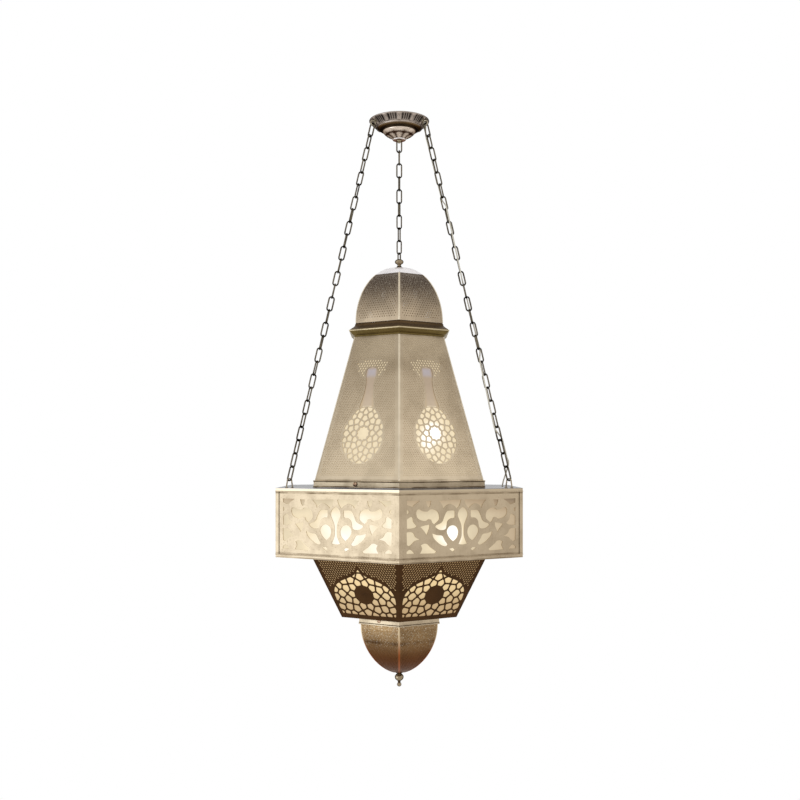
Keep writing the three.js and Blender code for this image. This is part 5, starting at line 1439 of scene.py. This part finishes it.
lower_place = (LOWER_FOOT_RADIUS / CORNER_FROM_FLAT, LOWER_FOOT, LOWER_LEAN)
six_sheets("lower_sheet", "lower_section", lower_flat(), lower_place, HEAVY_SHEET, BRONZE)
corner_strips("lower_seams", [LOWER_FOOT_RADIUS, LOWER_TOP_RADIUS], [LOWER_FOOT, LOWER_TOP], BRONZE,
              width=1.3, proud=0.35)
rim_profile = moved(LOWER_TOP_RADIUS, LOWER_TOP, [(-5, 0), (-1.6, 0), (-2.2, -1.2), (-5, -1.2)])
hexagonal_piece("lower_rim", rim_profile, BRONZE, bevel=0.2, replaces=["lower_section"])
floor_profile = moved(LOWER_FOOT_RADIUS, LOWER_FOOT, [(-1.7, 1.2), (0, 0.02)])
floor_profile += moved(SPIGOT, LOWER_FOOT, [(0, 0), (0, -8), (-1.4, -8), (-1.4, 1.2)])
hexagonal_piece("lower_floor", floor_profile, BRONZE, bevel=0.25, replaces=["lower_section"])


# Collar, lower dome and bottom finial

collar_line = moved(COLLAR_RADIUS, COLLAR_TOP, [(-0.8, 0), (0, -0.8), (-0.9, -2.2)])
collar_line += moved(COLLAR_RADIUS, COLLAR_FOOT, [(-0.9, 3), (0, 1.8), (0, 0.4), (-0.8, 0)])
collar_line.append((LOWER_DOME_RADIUS - 9, COLLAR_FOOT))
hexagonal_piece("collar_ring", thick_profile(collar_line), LIP_BRASS, bevel=0.25, replaces=["lower_collar"])
ring_of_screws("collar_screw", COLLAR_RADIUS / CORNER_FROM_FLAT - 0.6, (COLLAR_TOP + COLLAR_FOOT) / 2 + 1.2)


def lower_dome_profile(steps=46):
    """Corner radii and heights of the lower dome from its point up: the radius is the dome's own times
    (1 - (0.98 share) to the power 1.8) to the power 0.6, the share growing as the sine of an even count."""
    share = np.sin(np.linspace(1, 0, steps) * np.pi / 2)
    radius = LOWER_DOME_RADIUS * (1 - (0.98 * share) ** 1.8) ** 0.6
    height = LOWER_DOME_TOP - LOWER_DOME_SKIRT - LOWER_DOME_HEIGHT * share
    return np.append(radius, LOWER_DOME_RADIUS), np.append(height, LOWER_DOME_TOP)


lower_gore = Gore(*lower_dome_profile())
pierced_gores("lower_gores", "lower_dome", lower_gore, LOWER_BRASS, pitch=2.6, rise=2.2,
              hole=small_hole(1.25, 1.5, corners=4), margin=3.2, ends=(14.0, 5.5))
corner_strips("lower_dome_seams", lower_gore.radius, lower_gore.height, LOWER_SEAM, width=1.3, proud=0.4)
DOME_POINT = lower_gore.height[0]
BALL = DOME_POINT - FIT - 7.9
FOOT_TIP = DOME_POINT - FIT - 23.2
pendant_profile = moved(0, DOME_POINT, [(0, -FIT), (5.0, -FIT), (5.5, -1.1), (4.4, -1.9)])
pendant_profile += moved(0, BALL, [(3.4, 6.0), (4.0, 5.2), (5.6, 3.9), (7.0, 1.6), (7.1, -0.4), (6.2, -3.0),
                                   (4.2, -4.9), (2.4, -6.2), (1.9, -7.2), (2.8, -7.9)])
pendant_profile += moved(0, FOOT_TIP, [(2.0, 6.8), (3.2, 5.2), (3.7, 3.6), (2.9, 1.6), (1.4, 0.4), (0, 0)])
turned_piece("pendant_finial", pendant_profile, OLD_NICKEL, replaces=["bottom_finial"])


# Lit films behind the pierced sheets

FILM_WALL = 0.6


def lit_film(name, node, low, high, brightness, columns=28, rows=30):
    """A thin six-sided film between two (corner radius, height) pairs, as a fine grid whose points hold
    their own brightness. brightness(face, across, along) gets the face's number and lengths from its foot's
    middle."""
    low, high = np.array(low), np.array(high)
    share = np.linspace(0, 1, rows + 1)[:, None]
    radius, height = (low + (high - low) * share).T[..., None]
    slant = math.hypot((high[0] - low[0]) / CORNER_FROM_FLAT, high[1] - low[1])
    layers, glows = [], []
    for depth in (0, FILM_WALL):
        reach = radius / CORNER_FROM_FLAT - depth
        across = np.linspace(-1, 1, columns + 1)[:-1] * reach * TAN_30
        along = share * slant + 0 * across
        grid, glow = [], []
        for number in range(SIDES):
            out, side = level(FACE_STEP * number), level(FACE_STEP * number + 90)
            grid.append(reach[..., None] * out + across[..., None] * side + height[..., None] * UP)
            glow.append(brightness(number, across, along))
        layers.append(np.concatenate(grid, 1))
        glows.append(np.clip(np.concatenate(glow, 1), 0, 1.4))
    both = np.concatenate([layers[0], layers[1][::-1]])
    piece = add_piece(name, both.reshape(-1, 3), grid_faces(len(both), both.shape[1], True, True), GLOW_FILM,
                      replaces=[node], smooth=True)
    keep_value(piece, "glow", np.concatenate([glows[0], glows[1][::-1]]))
    face_outwards(piece)


def spot(across, along, x, y, width, height):
    """A soft round spot of light, e to the minus distance squared, with its own width and height."""
    return np.exp(-(((across - x) / width) ** 2) - ((along - y) / height) ** 2)


def cone_glow(number, across, along):
    """Cells bright, the neck above them dim, the net about as bright as the metal and brighter near its
    head and foot. Odd faces have a hot lamp behind the star."""
    places = np.stack([across, along], -1)
    net = 0.45 + 0.24 * np.clip((along - 186) / 14, 0, 1) + 0.16 * np.clip((26 - along) / 12, 0, 1)
    net -= 0.14 * spot(across, along, -34 if number % 2 else 60, 62, 9, 34)
    lit = 0.78 - 0.05 * np.abs(across) / 35 + 0.03 * np.sin(across / 6 + number) * np.sin(along / 7)
    if number % 2:
        lit += 0.06 + 0.7 * spot(across, along, -2, 74, 13, 13) + 0.35 * spot(across, along, -17, 62, 12, 16)
    glow = np.where(inside(places, FAN), 0.66, net)
    glow = np.where(inside(places, WIDE_NECK), 0.36 + 0.1 * np.clip((150 - along) / 30, 0, 1), glow)
    return np.where(inside(places, WIDE_FLASK), lit, glow)


def band_glow(number, across, along):
    """Bright round the middle of the face, dim along its top and towards its far corner; odd faces have a
    hot lamp."""
    lean = across * (-1 if number % 2 else 1)
    base = 0.68 - 0.24 * np.clip(-lean / 95, 0, 1) - 0.3 * np.clip((along - 64) / 24, 0, 1)
    if number % 2:
        return base + 0.62 * spot(across, along, -14, 36, 13, 16) + 0.3 * spot(across, along, -34, 34, 24, 22)
    ripple = 0.06 * np.sin(across / 9) * np.sin(along / 11)
    return base + 0.25 + 0.12 * spot(across, along, 10, 30, 44, 28) + ripple


def lower_glow(number, across, along):
    """The arch warm and brighter towards its point, the net round it dim."""
    lit = 0.67 + 0.19 * np.tanh((along - 42) / 18) - 0.04 * (number % 2)
    return np.where(inside(np.stack([across, along], -1), WIDE_ARCH), lit, 0.43 - 0.05 * (number % 2))


def behind(radius, lean, depth):
    """Corner radius of a film set behind a leaning face by the depth, square to it."""
    return radius - depth / math.cos(lean) * CORNER_FROM_FLAT


FILM_FOOT = LIP_TOP + FIT
film_share = (FILM_FOOT - CONE_BASE) / CONE_HEIGHT
film_foot_radius = CONE_FOOT_RADIUS + (CONE_HEAD_RADIUS - CONE_FOOT_RADIUS) * film_share
lit_film("cone_film", "cone_liner", (behind(film_foot_radius, CONE_LEAN, SHEET + FIT), FILM_FOOT),
         (behind(CONE_HEAD_RADIUS, CONE_LEAN, SHEET + FIT), CONE_HEAD - FIT), cone_glow, columns=64, rows=96)
band_film_radius = behind(BAND_REACH * CORNER_FROM_FLAT, 0, SHEET + FIT)
lit_film("band_film", "band_liner", (band_film_radius, BAND_FOOT + BAND_MARGIN),
         (band_film_radius, BAND_TOP - 2.9), band_glow)
lit_film("lower_film", "lower_liner",
         (behind(LOWER_FOOT_RADIUS, LOWER_LEAN, HEAVY_SHEET + FIT) + 1.0, foot_of("lower_liner")),
         (behind(LOWER_TOP_RADIUS, LOWER_LEAN, HEAVY_SHEET + FIT) - 1.0, top_of("lower_liner")),
         lower_glow, columns=64, rows=48)


# Looks of the frame's own nodes that stay

LOOKS = {"steel": STEEL, "plate_grey": PLATE_GREY, "band_brass": BAND_BRASS, "lamp_ceramic": CERAMIC,
         "bulb_glass": BULB_GLASS, "nickel": NICKEL}
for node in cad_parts.values():
    for holder in node.material_slots:
        name = holder.material.name if holder.material else ""
        if name in LOOKS:
            holder.material = LOOKS[name]
